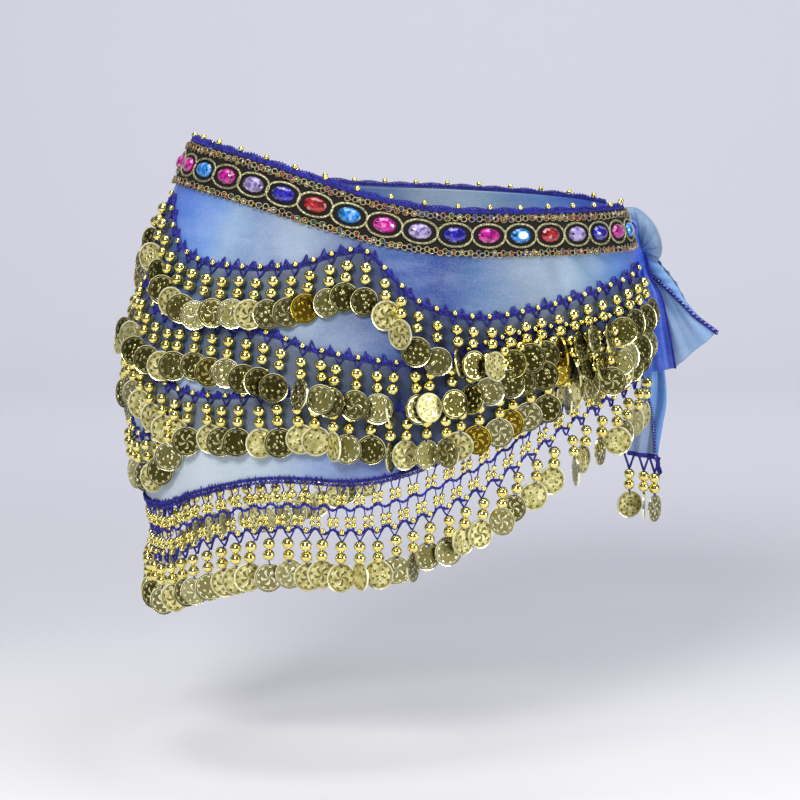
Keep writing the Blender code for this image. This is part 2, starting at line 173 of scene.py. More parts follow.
def line_at(name, distance):
    """Height in millimetres of a line at a distance round the girth, the back read as the front."""
    angle = angle_at(distance)
    return curve_through(LINES[name], 180 - np.abs(180 - angle))


# Soft creases: distance from the tie, height at the middle, half length, half width, lean, depth
CREASES = [
    (118, -44, 30, 7, 0.9, 1.3), (96, -40, 20, 5, 1.2, 0.9), (150, -42, 26, 8, 0.5, 0.9),
    (236, -48, 34, 9, -0.5, 1.0), (262, -60, 30, 7, 0.3, 0.7), (300, -62, 26, 8, -0.7, 0.9),
    (352, -56, 36, 8, 0.4, 1.1), (392, -40, 30, 7, 0.8, 0.9), (430, -52, 28, 9, -0.4, 0.9),
    (210, -140, 26, 7, 0.6, 0.9), (276, -150, 34, 9, -0.3, 1.1), (330, -154, 30, 8, 0.4, 1.0),
    (388, -166, 28, 9, -0.6, 1.0), (432, -172, 30, 8, 0.5, 0.9),
    (520, -46, 30, 8, 0.6, 1.1), (566, -58, 34, 9, -0.5, 0.9), (628, -52, 28, 7, 0.4, 1.0),
    (676, -48, 32, 8, 0.7, 1.1), (744, -44, 30, 8, -0.8, 1.2), (812, -42, 26, 7, 0.9, 1.0),
    (556, -164, 30, 9, 0.4, 1.0), (622, -152, 32, 8, -0.5, 1.0), (700, -140, 28, 8, 0.5, 0.9),
]


def crease_depth(distance, height):
    """How far the cloth dips or stands at a place, in millimetres."""
    depth = np.zeros(np.broadcast(distance, height).shape)
    for place, middle, half_length, half_width, lean, strength in CREASES:
        up = height - middle
        across = distance - place - lean * up
        reach = np.exp(-(up / half_length) ** 2)
        trough = np.exp(-(across / half_width) ** 2)
        ridge = np.exp(-((across - 1.9 * half_width) / half_width) ** 2)
        depth += strength * reach * (0.7 * ridge - trough)
    return depth


def scarf(distance, height, out=0.0):
    """Points on the worn cloth, its creases followed."""
    distance, height, out = np.broadcast_arrays(np.asarray(distance, float), height, out)
    return form(angle_at(distance), height, out + crease_depth(distance, height) - 0.3)


def unit(vectors):
    return vectors / np.linalg.norm(vectors, axis=-1, keepdims=True)


def scarf_frames(distance, height, rise=0.0):
    """Directions along, up and out of the worn cloth. rise is the slope of a line followed."""
    distance = np.asarray(distance, float)
    angle = angle_at(distance)
    along = unit(form(angle_at(distance + 1), height) - form(angle_at(distance - 1), height))
    up = unit(form(angle, height + 1) - form(angle, height - 1))
    along = unit(along + up * np.asarray(rise)[..., None])
    out = unit(np.cross(up, along))
    out *= np.sign(np.sum(out * form(angle, height) * [1, 1, 0], axis=-1, keepdims=True))
    up = np.cross(out, along)
    return along, up * np.sign(up[..., 2:3]), out


class Value:
    """A node's socket that takes Python's operators."""

    def __init__(self, graph, socket):
        self.graph = graph
        self.socket = socket

    def maths(self, operation, *others):
        values = dict(enumerate((self, *others)))
        return self.graph.node("Math", {"operation": operation}, values)

    def __add__(self, other): return self.maths("ADD", other)
    def __radd__(self, other): return self.maths("ADD", other)
    def __sub__(self, other): return self.maths("SUBTRACT", other)
    def __rsub__(self, other): return self.maths("MULTIPLY", -1.0).maths("ADD", other)
    def __mul__(self, other): return self.maths("MULTIPLY", other)
    def __rmul__(self, other): return self.maths("MULTIPLY", other)
    def __truediv__(self, other): return self.maths("DIVIDE", other)
    def __pow__(self, other): return self.maths("POWER", other)

    def step(self, low, high):
        """Rise smoothly from 0 to 1 between two values."""
        settings = {"interpolation_type": "SMOOTHSTEP"}
        return self.graph.node("MapRange", settings, {0: self, 1: low, 2: high})


class Graph:
    """A shader or geometry tree, with one way to add any node."""

    def __init__(self, tree, prefix="ShaderNode"):
        self.tree = tree
        self.prefix = prefix

    def node(self, kind, settings=None, sockets=None, output=0):
        made = self.tree.nodes.new(kind if "Node" in kind else self.prefix + kind)
        for name, value in (settings or {}).items():
            if name == "stops":
                ramp = made.color_ramp.elements
                while len(ramp) < len(value):
                    ramp.new(1.0)
                for element, (place, colour) in zip(ramp, value):
                    element.position = place
                    element.color = (*colour, 1.0)
            else:
                setattr(made, name, value)
        for key, value in (sockets or {}).items():
            if isinstance(value, Value):
                self.tree.links.new(value.socket, made.inputs[key])
            else:
                made.inputs[key].default_value = value
        return Value(self, made.outputs[output])

    def split(self, vector):
        made = self.node("SeparateXYZ", None, {0: vector}).socket.node
        return [Value(self, socket) for socket in made.outputs]

    def mix(self, factor, first, second):
        sockets = {0: factor, 6: self.colour(first), 7: self.colour(second)}
        return self.node("Mix", {"data_type": "RGBA"}, sockets, 2)

    def colour(self, value):
        return value if isinstance(value, Value) else (*value, 1.0)

    def noise(self, place, scale, detail=3.0, roughness=0.5):
        sockets = {"Vector": place, "Scale": scale, "Detail": detail, "Roughness": roughness}
        return self.node("TexNoise", None, sockets)

    def ramp(self, stops, factor):
        return self.node("ValToRGB", {"stops": stops}, {0: factor})

    def attribute(self, name, output="Fac"):
        return self.node("Attribute", {"attribute_name": name}, None, output)

    def bump(self, height, strength, distance):
        sockets = {"Strength": strength, "Distance": distance, "Height": height}
        return self.node("Bump", None, sockets)

    def feed(self, **links):
        """Join values to the shader's varying sockets, and return the material."""
        shader = self.tree.nodes["Principled BSDF"]
        for key, value in links.items():
            self.tree.links.new(value.socket, shader.inputs[key.replace("_", " ")])
        return self.material


def srgb(red, green, blue):
    """Linear colour from a screen colour of 0 to 255."""
    values = [channel / 255 for channel in (red, green, blue)]
    return tuple(v / 12.92 if v <= 0.04045 else ((v + 0.055) / 1.055) ** 2.4 for v in values)


def new_material(name, **constants):
    """Principled material with constant sockets set. Returns its graph and the Object coordinates."""
    material = bpy.data.materials.new(name)
    material.use_nodes = True
    shader = material.node_tree.nodes["Principled BSDF"]
    for key, value in constants.items():
        socket = shader.inputs[key.replace("_", " ")]
        socket.default_value = (*value, 1.0) if isinstance(value, tuple) else value
    graph = Graph(material.node_tree)
    graph.material = material
    return graph, graph.node("TexCoord", None, None, "Object")


def dyes(rows):
    """A ramp's stops from rows of place, red, green and blue."""
    return [(place, srgb(*colour)) for place, *colour in rows]


# Dyes: round the cloth from the right hip to the tie, high and low on it, and on the loose ends
DYE_BANDS = dyes([
    (0.00, 62, 106, 204), (0.06, 84, 126, 206), (0.116, 109, 146, 206),
    (0.15, 138, 166, 200), (0.205, 108, 134, 175), (0.293, 133, 152, 177),
    (0.357, 103, 122, 156), (0.435, 48, 81, 149), (0.494, 34, 61, 134),
    (0.556, 74, 106, 152), (0.62, 118, 138, 159), (0.68, 140, 162, 185),
    (0.75, 114, 146, 180), (0.806, 74, 126, 196), (0.9, 52, 94, 200), (1.00, 40, 76, 200),
])
LOW_DYE_BANDS = dyes([
    (0.00, 172, 192, 208), (0.14, 190, 203, 212), (0.235, 178, 194, 206),
    (0.32, 132, 154, 194), (0.40, 94, 117, 178), (0.48, 84, 106, 170), (0.62, 82, 112, 182),
    (0.80, 62, 102, 194), (1.00, 40, 76, 196),
])
END_DYES = dyes([
    (0.00, 146, 165, 205), (0.35, 126, 156, 191), (0.6, 110, 164, 229),
    (0.8, 62, 112, 222), (1.00, 34, 78, 216),
])


def chiffon_material(name, high, low_down=None, sheer=False):
    """Shiny sheer chiffon, dyed in soft bands, with painted shimmer in its fine grain and painted shadow
    behind the coin rows. high and low_down are the bands' colours up and down it.
    """
    graph, place = new_material(
        name, Sheen_Weight=0.12, Sheen_Roughness=0.4, Specular_IOR_Level=0.4,
        Sheen_Tint=srgb(225, 235, 255),
    )
    flat = graph.node("UVMap", {"uv_map": "cloth"})
    around, down, _ = graph.split(flat)
    cloud = graph.noise(place, 11.0, 3.0, 0.55)
    wide = graph.noise(place, 5.0, 2.0, 0.5)
    dye = around + (cloud - 0.5) * 0.10 + (wide - 0.5) * 0.12
    colour = graph.ramp(high, dye)
    if low_down:
        low_bands = graph.ramp(low_down, dye)
        colour = graph.mix((down + (cloud - 0.5) * 0.35).step(0.45, 0.8), colour, low_bands)
    drawn_out = graph.node("VectorMath", {"operation": "MULTIPLY"}, {0: place, 1: (1, 1, 3.2)})
    streak = graph.noise(drawn_out, 26.0, 4.0, 0.6)
    colour = graph.mix((streak - 0.45).maths("MAXIMUM", 0.0) * 0.6, colour, srgb(196, 210, 230))
    # Fine grain, partly the weave and partly painted shimmer: its pale specks are painted glints, its dark
    # specks painted shade. It also feeds the bump and the sheer alpha.
    grain_and_shimmer = graph.noise(place, 1400.0, 2.0, 0.6)
    colour = graph.mix((grain_and_shimmer - 0.45).maths("MAXIMUM", 0.0) * 0.5, colour, srgb(216, 226, 240))
    colour = graph.mix((0.47 - grain_and_shimmer).maths("MAXIMUM", 0.0) * 1.1, colour, srgb(50, 74, 140))
    # Painted shadow behind the coin rows: the shade attribute darkens the cloth toward a grey navy.
    shade = graph.attribute("shade")
    colour = graph.mix(shade * 0.7, colour, srgb(46, 52, 80))
    soft = graph.noise(place, 42.0, 3.0, 0.5)
    if sheer:
        graph.feed(Alpha=0.42 + grain_and_shimmer * 0.2 + soft * 0.2)
    return graph.feed(
        Base_Color=colour, Normal=graph.bump(soft + grain_and_shimmer * 0.16, 0.32, 0.0016),
        Roughness=0.34 + soft * 0.22,
    )


def thread_material(name, dark, light):
    """Crochet cotton with a plied twist, its mottle a painted highlight of the mercerised sheen."""
    graph, place = new_material(
        name, Sheen_Weight=0.1, Sheen_Roughness=0.5, Sheen_Tint=srgb(90, 100, 255),
    )
    painted_sheen_mottle = graph.noise(place, 420.0, 3.0, 0.6)
    ply = graph.noise(place, 2400.0, 2.0, 0.6)
    # Where the mottle is high, the light colour is painted highlight.
    colour = graph.mix(painted_sheen_mottle.step(0.35, 0.7), dark, light)
    return graph.feed(
        Base_Color=colour, Roughness=0.5 + ply * 0.25,
        Normal=graph.bump(ply + painted_sheen_mottle, 0.5, 0.0004),
    )


def bead_material():
    """Polished gold bead."""
    graph, place = new_material("gold_bead", Metallic=1.0)
    tint = graph.attribute("tint")
    wear = graph.noise(place, 380.0, 3.0, 0.6)
    bright = graph.mix(tint, srgb(246, 237, 156), srgb(238, 222, 124))
    colour = graph.mix(wear.step(0.55, 0.75) * 0.3, bright, srgb(196, 176, 96))
    return graph.feed(Base_Color=colour, Roughness=0.05 + wear * 0.08)


def coin_material():
    """Stamped antique gold: a double rim, a ring of dots, and a hammered middle; each coin is painted darker
    or paler as painted reflection.
    """
    graph, place = new_material("stamped_gold")
    flat = graph.node("UVMap", {"uv_map": "face"})
    tint = graph.attribute("tint")
    x, y, _ = graph.split(flat)
    radius = (x * x + y * y) ** 0.5
    turn = y.maths("ARCTAN2", x)
    dots = (turn * 9.0).maths("SINE").step(0.1, 0.5)
    dot_ring = radius.step(0.64, 0.68) * (1.0 - radius.step(0.77, 0.81)) * dots
    inner_ring = radius.step(0.80, 0.82) * (1.0 - radius.step(0.855, 0.875))
    rim = radius.step(0.925, 0.945)
    spread = graph.node("CombineXYZ", None, {0: x * 2.4, 1: y * 2.4, 2: tint * 40.0})
    settings = {"feature": "SMOOTH_F1"}
    cells = graph.node("TexVoronoi", settings, {"Vector": spread, "Scale": 1.5, "Smoothness": 0.35})
    petals = (turn * 5.0 + radius * 7.0).maths("SINE").step(-0.2, 0.7)
    hammered = (0.52 - cells).step(0.0, 0.34)
    swirled = (tint * 5.0).maths("FRACT").step(0.5, 0.52)
    middle = (1.0 - radius.step(0.5, 0.56)) * (hammered * (1.0 - swirled) + petals * swirled)
    relief = dot_ring * 0.95 + inner_ring * 0.7 + middle * 0.85 + rim
    wear = graph.noise(place, 260.0, 4.0, 0.6)
    raised = (relief + (wear - 0.5) * 1.1).step(0.3, 0.8)
    # Painted light per coin: the tint makes darker and paler copies of one gold as painted reflection, and
    # the palest coins get a pale, less metallic field as a painted bright reflection. The warm coins are a
    # real tone.
    painted_coin_light = tint.step(0.2, 0.7)
    painted_bright_coin = tint.step(0.72, 0.8)
    warm = (tint * 7.0).maths("FRACT").step(0.91, 0.94)
    dark = graph.mix(painted_coin_light, srgb(74, 70, 34), srgb(146, 140, 86))
    dark = graph.mix(warm, dark, srgb(112, 92, 26))
    bright = graph.mix(painted_coin_light, srgb(216, 210, 146), srgb(254, 252, 214))
    bright = graph.mix(warm, bright, srgb(230, 204, 78))
    pale = graph.mix(wear.step(0.36, 0.62), srgb(176, 168, 96), srgb(238, 232, 168))
    dark = graph.mix(painted_bright_coin, dark, pale)
    # On the palest coins the raised stamp is painted dark, as painted shade at its edges, and the rim stays
    # pale.
    marks = graph.mix(painted_bright_coin, bright, graph.mix(rim, srgb(128, 116, 58), srgb(254, 252, 214)))
    return graph.feed(
        Base_Color=graph.mix(raised, dark, marks),
        Roughness=0.3 - raised * 0.14 + wear * 0.1, Metallic=1.0 - painted_bright_coin * 0.4,
        Normal=graph.bump(relief + wear * 0.25, 0.75, 0.0008),
    )


def ribbon_material():
    """Black velvety ribbon with a fine nap."""
    graph, place = new_material(
        "black_ribbon", Sheen_Weight=0.12, Sheen_Roughness=0.5, Sheen_Tint=srgb(140, 135, 130),
        Specular_IOR_Level=0.3,
    )
    nap = graph.noise(place, 900.0, 3.0, 0.7)
    patch = graph.noise(place, 60.0, 2.0, 0.5)
    colour = graph.mix(patch * nap, srgb(8, 7, 7), srgb(40, 37, 32))
    return graph.feed(Base_Color=colour, Roughness=0.72 + nap * 0.2, Normal=graph.bump(nap, 0.5, 0.0004))


def cord_material():
    """Antique gold lurex cord of the oval outlines."""
    graph, place = new_material("lurex_cord", Metallic=0.75)
    glint = graph.noise(place, 1300.0, 2.0, 0.7)
    colour = graph.mix(glint.step(0.4, 0.62), srgb(88, 82, 50), srgb(236, 230, 180))
    return graph.feed(Base_Color=colour, Roughness=0.3 + glint * 0.25, Normal=graph.bump(glint, 0.7, 0.0005))


def ring_material():
    """Metal rings of the braid, in gold, silver and copper tones."""
    graph, place = new_material("braid_ring", Metallic=0.85)
    tint = graph.attribute("tint")
    tones = dyes([(0.0, 236, 222, 160), (0.5, 222, 212, 168), (0.85, 216, 186, 138), (1.0, 190, 190, 190)])
    colour = graph.ramp(tones, tint)
    glint = graph.noise(place, 1500.0, 2.0, 0.7)
    return graph.feed(
        Base_Color=graph.mix(glint.step(0.45, 0.65), graph.mix(0.6, colour, srgb(30, 26, 22)), colour),
        Roughness=0.3 + glint * 0.2, Normal=graph.bump(glint, 0.6, 0.0004),
    )


def gem_material():
    """Cut resin gem: sparkle behind the facets as painted reflection, in darker and paler cells, and a sew
    hole at each end.
    """
    graph, place = new_material(
        "cut_gem", Specular_IOR_Level=0.7, Coat_Weight=0.8, Coat_Roughness=0.03,
    )
    carried = graph.attribute("gem_colour", 0)
    x, y, _ = graph.split(graph.node("UVMap", {"uv_map": "face"}))
    cells = graph.node("TexVoronoi", None, {"Vector": place, "Scale": 420.0}, "Color")
    sparkle, _, _ = graph.split(cells)
    # Painted facet reflections: the gem's colour is darkened in some cells as painted shade and paled in a
    # few as painted glints.
    deep = graph.mix(0.62, carried, (0.0, 0.0, 0.01))
    glint = graph.mix(0.45, carried, (0.9, 0.9, 0.95))
    colour = graph.mix(sparkle.step(0.25, 0.6), deep, carried)
    colour = graph.mix(sparkle.step(0.84, 0.92) * 0.5, colour, glint)
    end = x.maths("ABSOLUTE") - 0.74
    hole = (end * end + y * y * 0.5) ** 0.5
    colour = graph.mix(1.0 - hole.step(0.07, 0.12), colour, (0.01, 0.01, 0.015))
    return graph.feed(Base_Color=colour, Roughness=0.05 + sparkle * 0.12)


def dot_material():
    """Coloured thread dots between the braid's rings."""
    graph, place = new_material("braid_dot", Specular_IOR_Level=0.6)
    carried = graph.attribute("dot_colour", 0)
    cloud = graph.noise(place, 900.0, 2.0, 0.5)
    colour = graph.mix(cloud * 0.4, carried, (0.02, 0.02, 0.02))
    return graph.feed(Base_Color=colour, Roughness=0.25 + cloud * 0.2)


def stage_material(name, wall, middle, floor):
    """Studio paper, with a darker band of painted shadow on the floor under the object, and paler on the wall
    and on the floor in front.
    """
    graph, place = new_material(name, Specular_IOR_Level=0.2)
    x, y, _ = graph.split(place)
    back = x * 0.292 + y * 0.956
    cloud = graph.noise(place, 3.0, 2.0, 0.5)
    # Painted shadow: the floor darkens to the middle tone under the object.
    floor_with_painted_shadow = graph.mix(back.step(-0.15, 0.42), floor, middle)
    paper = graph.mix(back.step(0.45, 1.5), floor_with_painted_shadow, wall)
    return graph.feed(Base_Color=graph.mix(cloud * 0.02, paper, wall), Roughness=0.7 + cloud * 0.1)


MATERIALS = {
    "chiffon": chiffon_material("dyed_chiffon", DYE_BANDS, LOW_DYE_BANDS),
    "ends": chiffon_material("dyed_ends", END_DYES),
    "sheer": chiffon_material("sheer_chiffon", END_DYES, sheer=True),
    "thread": thread_material("crochet_thread", srgb(15, 12, 100), srgb(48, 48, 182)),
    # Pale thread for the painted glints on the edge crochet.
    "glint_thread": thread_material("painted_glint_thread", srgb(120, 140, 210), srgb(214, 224, 246)),
    "bead": bead_material(),
    "coin": coin_material(),
    "ribbon": ribbon_material(),
    "cord": cord_material(),
    "ring": ring_material(),
    "gem": gem_material(),
    "dot": dot_material(),
}


def mesh_object(name, points, faces=(), edges=()):
    data = bpy.data.meshes.new(name)
    data.from_pydata([tuple(p) for p in np.asarray(points).reshape(-1, 3)], edges, faces)
    item = bpy.data.objects.new(name, data)
    bpy.context.scene.collection.objects.link(item)
    return item


def grid_faces(across, down):
    """Faces of a grid of points, in rows of the second index."""
    return [
        (i * down + k, (i + 1) * down + k, (i + 1) * down + k + 1, i * down + k + 1)
        for i in range(across - 1) for k in range(down - 1)
    ]


def baked(item, name):
    """The plain mesh that an object's modifiers make, in the object's place."""
    view = bpy.context.evaluated_depsgraph_get()
    data = bpy.data.meshes.new_from_object(item.evaluated_get(view), depsgraph=view)
    bpy.data.objects.remove(item, do_unlink=True)
    data.name = name
    made = bpy.data.objects.new(name, data)
    bpy.context.scene.collection.objects.link(made)
    return made


def set_attribute(item, name, kind, values):
    field = {"FLOAT": "value", "FLOAT_VECTOR": "vector", "FLOAT_COLOR": "color"}[kind]
    attribute = item.data.attributes.new(name, kind, "POINT")
    attribute.data.foreach_set(field, np.asarray(values, np.float32).ravel())


def new_tree(name, **inputs):
    """Geometry tree with a mesh in and out, named inputs and a material."""
    tree = bpy.data.node_groups.new(name, "GeometryNodeTree")
    for label, kind in {"Geometry": "Geometry", **inputs, "Material": "Material"}.items():
        tree.interface.new_socket(label, in_out="INPUT", socket_type="NodeSocket" + kind)
    tree.interface.new_socket("Geometry", in_out="OUTPUT", socket_type="NodeSocketGeometry")
    graph = Graph(tree, "GeometryNode")
    start = tree.nodes.new("NodeGroupInput")
    return graph, {socket.name: Value(graph, socket) for socket in start.outputs if socket.name}


def close_tree(graph, given, geometry, smooth=True):
    """End a tree: instances made real, shaded and given their material."""
    if smooth:
        geometry = graph.node("SetShadeSmooth", None, {"Geometry": geometry})
    real = graph.node("RealizeInstances", None, {0: geometry})
    painted = graph.node("SetMaterial", None, {"Geometry": real, "Material": given["Material"]})
    end = graph.tree.nodes.new("NodeGroupOutput")
    graph.tree.links.new(painted.socket, end.inputs[0])
    return graph.tree


def on_points(graph, given, shape):
    """The shape on every point, turned and sized as the point's attributes say."""
    settings = {"data_type": "FLOAT_VECTOR"}
    turn, size = (graph.node("InputNamedAttribute", settings, {"Name": name}) for name in ("turn", "size"))
    turn = graph.node("FunctionNodeEulerToRotation", None, {0: turn})
    sockets = {"Points": given["Geometry"], "Instance": shape, "Rotation": turn, "Scale": size}
    return graph.node("InstanceOnPoints", None, sockets)


def thread_tree():
    """Thread of a given thickness along every line of a wire mesh."""
    graph, given = new_tree("crochet_thread_tube", Radius="Float", Sides="Int")
    line = graph.node("MeshToCurve", None, {"Mesh": given["Geometry"]})
    ring = graph.node("CurvePrimitiveCircle", None, {"Resolution": given["Sides"], "Radius": given["Radius"]})
    tube = graph.node("CurveToMesh", None, {"Curve": line, "Profile Curve": ring, "Fill Caps": True})
    return close_tree(graph, given, tube)


def bead_tree():
    """Round bead of a given radius on every point."""
    graph, given = new_tree("bead_on_thread", Radius="Float", Rounds="Int")
    ball = graph.node("MeshIcoSphere", None, {"Radius": given["Radius"], "Subdivisions": given["Rounds"]})
    return close_tree(graph, given, on_points(graph, given, ball))


def copies_tree(name, smooth):
    """One modelled shape on every point, turned and sized by the point."""
    graph, given = new_tree(name, Shape="Object")
    shape = graph.node("ObjectInfo", None, {"Object": given["Shape"]}, "Geometry")
    return close_tree(graph, given, on_points(graph, given, shape), smooth)


TREES = {
    "thread": thread_tree(),
    "bead": bead_tree(),
    "smooth_copies": copies_tree("links_on_band", True),
    "cut_copies": copies_tree("coins_and_gems", False),
}


def grown(item, tree, name, slot, replaces=(), **inputs):
    """Run a tree on a wire or point mesh and keep the plain mesh that it makes."""
    modifier = item.modifiers.new("grow", "NODES")
    modifier.node_group = TREES[tree]
    for socket in TREES[tree].interface.items_tree:
        if socket.in_out == "INPUT" and socket.name in inputs:
            modifier[socket.identifier] = inputs[socket.name]
    item.data.update()
    return keep(baked(item, name), replaces)


def keep(made, replaces=()):
    """Tell the frame what a finished piece rides on and replaces."""
    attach(made, "root")
    if replaces:
        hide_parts(*replaces)
    return made


def wires(paths):
    """Wire mesh of several open paths of points."""
    points = np.concatenate(paths)
    edges = []
    start = 0
    for path in paths:
        edges += [(start + i, start + i + 1) for i in range(len(path) - 1)]
        start += len(path)
    return mesh_object("wire", points, edges=edges)


def threads(paths, name, radius, replaces=(), sides=5, material="thread"):
    """Crochet thread of a radius in millimetres along paths."""
    return grown(
        wires(paths), "thread", name, "crochet", replaces,
        Radius=radius * MM, Sides=sides, Material=MATERIALS[material],
    )


def round_beads(item, name, radius, slot="beads", rounds=2, material="bead"):
    """Bead of a radius in millimetres on every point."""
    return grown(item, "bead", name, slot, Radius=radius * MM, Rounds=rounds, Material=MATERIALS[material])


def points_object(places, turns=None, sizes=None, tints=None):
    item = mesh_object("points", places)
    count = len(places)
    set_attribute(item, "turn", "FLOAT_VECTOR", np.zeros((count, 3)) if turns is None else turns)
    set_attribute(item, "size", "FLOAT_VECTOR", np.ones((count, 3)) if sizes is None else sizes)
    set_attribute(item, "tint", "FLOAT", random.random(count) if tints is None else tints)
    return item


def euler(along, up, out):
    """Turns that carry X along, Y up and Z out, with X run backwards where the three are left-handed."""
    turns = []
    for a, u, o in zip(along, up, out):
        side = a if np.dot(np.cross(a, u), o) > 0 else -a
        turns.append(Matrix(np.stack([side, u, o], 1).tolist()).to_euler())
    return turns


def grid_object(name, points, material, wall, uv_places=None, shade=None):
    """Sheet through a grid of points, with a wall in millimetres behind it and dye places as its UV."""
    item = mesh_object(name, points, grid_faces(*points.shape[:2]))
    if uv_places is not None:
        layer = item.data.uv_layers.new(name="cloth")
        corners = np.empty(len(item.data.loops), np.int32)
        item.data.loops.foreach_get("vertex_index", corners)
        layer.data.foreach_set("uv", uv_places.reshape(-1, 2)[corners].astype(np.float32).ravel())
    if shade is not None:
        set_attribute(item, "shade", "FLOAT", shade)
    item.data.shade_smooth()
    item.data.materials.append(MATERIALS[material])
    solidify = item.modifiers.new("wall", "SOLIDIFY")
    solidify.thickness = wall * MM
    solidify.offset = -1.0
    return baked(item, name)


def grid_places(first, second):
    """Two grids of places, from the start, stop and count of each."""
    return np.meshgrid(np.linspace(*first), np.linspace(*second), indexing="ij")


def grid_area(points):
    """Area of a grid of points, in square metres."""
    first = points[1:, :-1] - points[:-1, :-1]
    second = points[:-1, 1:] - points[:-1, :-1]
    return float(np.linalg.norm(np.cross(first, second), axis=-1).sum())


def painted_row_shadow(distances, heights):
    """How much painted shadow darkens the cloth behind the coin rows, from 0 to 1."""
    near = np.minimum(distances, GIRTH - distances)
    shade = 0 * heights
    for name in ("row_1", "row_2", "row_3"):
        below = line_at(name, distances) - heights
        shade = np.maximum(shade, np.clip(below / 5, 0, 1) * np.clip((40 - below) / 20, 0, 1))
    return shade * np.clip((near - ROW_GAP + 16) / 16, 0, 1)


def loose_cloth(name, points, dye, nodes=(), material="ends", wall=CLOTH_WALL):
    """A piece of the tie, a sheet with a thin wall."""
    item = keep(grid_object(name, points, material, wall, dye), nodes)
    area = grid_area(points)


def make_cloth():
    """The chiffon, front and back, a thin shell with soft creases."""
    middle = GIRTH / 2
    seam = 0.02
    halves = {
        "chiffon_front": (np.linspace(BAND_ENDS[0], middle - seam, 204), "scarf_front"),
        "chiffon_back": (np.linspace(middle + seam, BAND_ENDS[1], 204), "scarf_back"),
    }
    for name, (distances, node) in halves.items():
        shares = np.linspace(0, 1, 74)
        top = line_at("top", distances)[:, None]
        hem = line_at("hem", distances)[:, None]
        heights = top + (hem - top) * shares
        points = scarf(distances[:, None], heights)
        around = np.abs(distances / GIRTH - 0.5)[:, None] * 2 + 0 * shares
        down = (top - heights) / DYE_DEPTH
        shade = painted_row_shadow(distances[:, None], heights)
        sheet = grid_object(name, points, "chiffon", CLOTH_WALL, np.stack([around, down], -1), shade)
        item = keep(sheet, [node])
        grid_area(points)


def offset_path(name, distances, ups, outs, drop=0.0):
    """Points along a line of the scarf, moved up and out of it."""
    return scarf(distances, line_at(name, distances) - drop + ups, outs)


def twisted_cord(line, start, stop, drop=0.0, out=1.3, radius=0.62, turn=5.2, wave=0.0, peaks=()):
    """Two strands twisted round each other along a line. It may wave, highest at the peaks' places."""
    distances = np.arange(start, stop, CORD_STEP)
    phase = distances / turn * math.tau
    ups = 0 * distances
    if wave:
        ups = wave * np.cos(np.interp(distances, peaks, np.arange(len(peaks))) * math.tau)
    return [
        offset_path(line, distances, ups + radius * np.sin(spin), out + radius * np.cos(spin), drop)
        for spin in (phase, phase + math.pi)
    ]


def loop_centres(start, stop):
    """Places of the pendants, wider apart beside the tie, where the rows are drawn together."""
    fine = np.linspace(start, stop, 4000)
    near = np.minimum(fine, GIRTH - fine)
    local = PITCH * (1 + 0.8 * np.exp(-(near / 105) ** 2))
    counted = np.concatenate([[0], np.cumsum(np.diff(fine) / local[1:])])
    count = int(counted[-1])
    count += 1 - count % 2
    return np.interp((np.arange(count) + 0.5) / count * counted[-1], counted, fine)


def zigzag(line, centres, top, bottom, drop=0.0, out=1.0, side=0.35):
    """Crochet loops that rise to a point between the pendants and fall to a V over each."""
    paths = []
    shape = [(-0.5, top), (-0.46, top * 0.8), (-0.34, 0.2), (-0.2, bottom * 0.45), (-0.05, bottom * 0.95)]
    shape += [(0.0, bottom)] + [(-across, up) for across, up in reversed(shape)]
    across = np.array([s[0] for s in shape]) * PITCH
    up = np.array([s[1] for s in shape])
    for strand in (-1, 1):
        peaks = top * random.uniform(-0.35, 0.3, len(centres) + 1)
        leans = random.normal(0, 0.7, len(centres) + 1)
        distances, ups = [], []
        for i, centre in enumerate(centres):
            share = np.clip(np.abs(across) / (0.5 * PITCH), 0, 1) ** 3
            at = i + (across > 0)
            distances.append(centre + across * (1 + 0.03 * strand) + leans[at] * share)
            ups.append(up + peaks[at] * share + strand * side * random.uniform(0.4, 1.0))
        distances, ups = np.concatenate(distances), np.concatenate(ups)
        outs = out + 0.35 * strand + 0.3 * np.sin(distances * 1.7)
        paths.append(offset_path(line, distances, ups, outs, drop))
    return paths


def loose_loops(line, start, stop, drop, low, high, step=1.15, out=1.3):
    """A strand that wanders up and down through the crochet, as its small loops do."""
    distances = np.arange(start, stop, step)
    count = len(distances)
    ups = np.where(np.arange(count) % 2, high, low) * random.uniform(0.25, 1.0, count)
    shift = random.normal(0, 0.7, count)
    return [offset_path(line, distances + shift, ups, out + random.uniform(-0.5, 0.9, count), drop)]


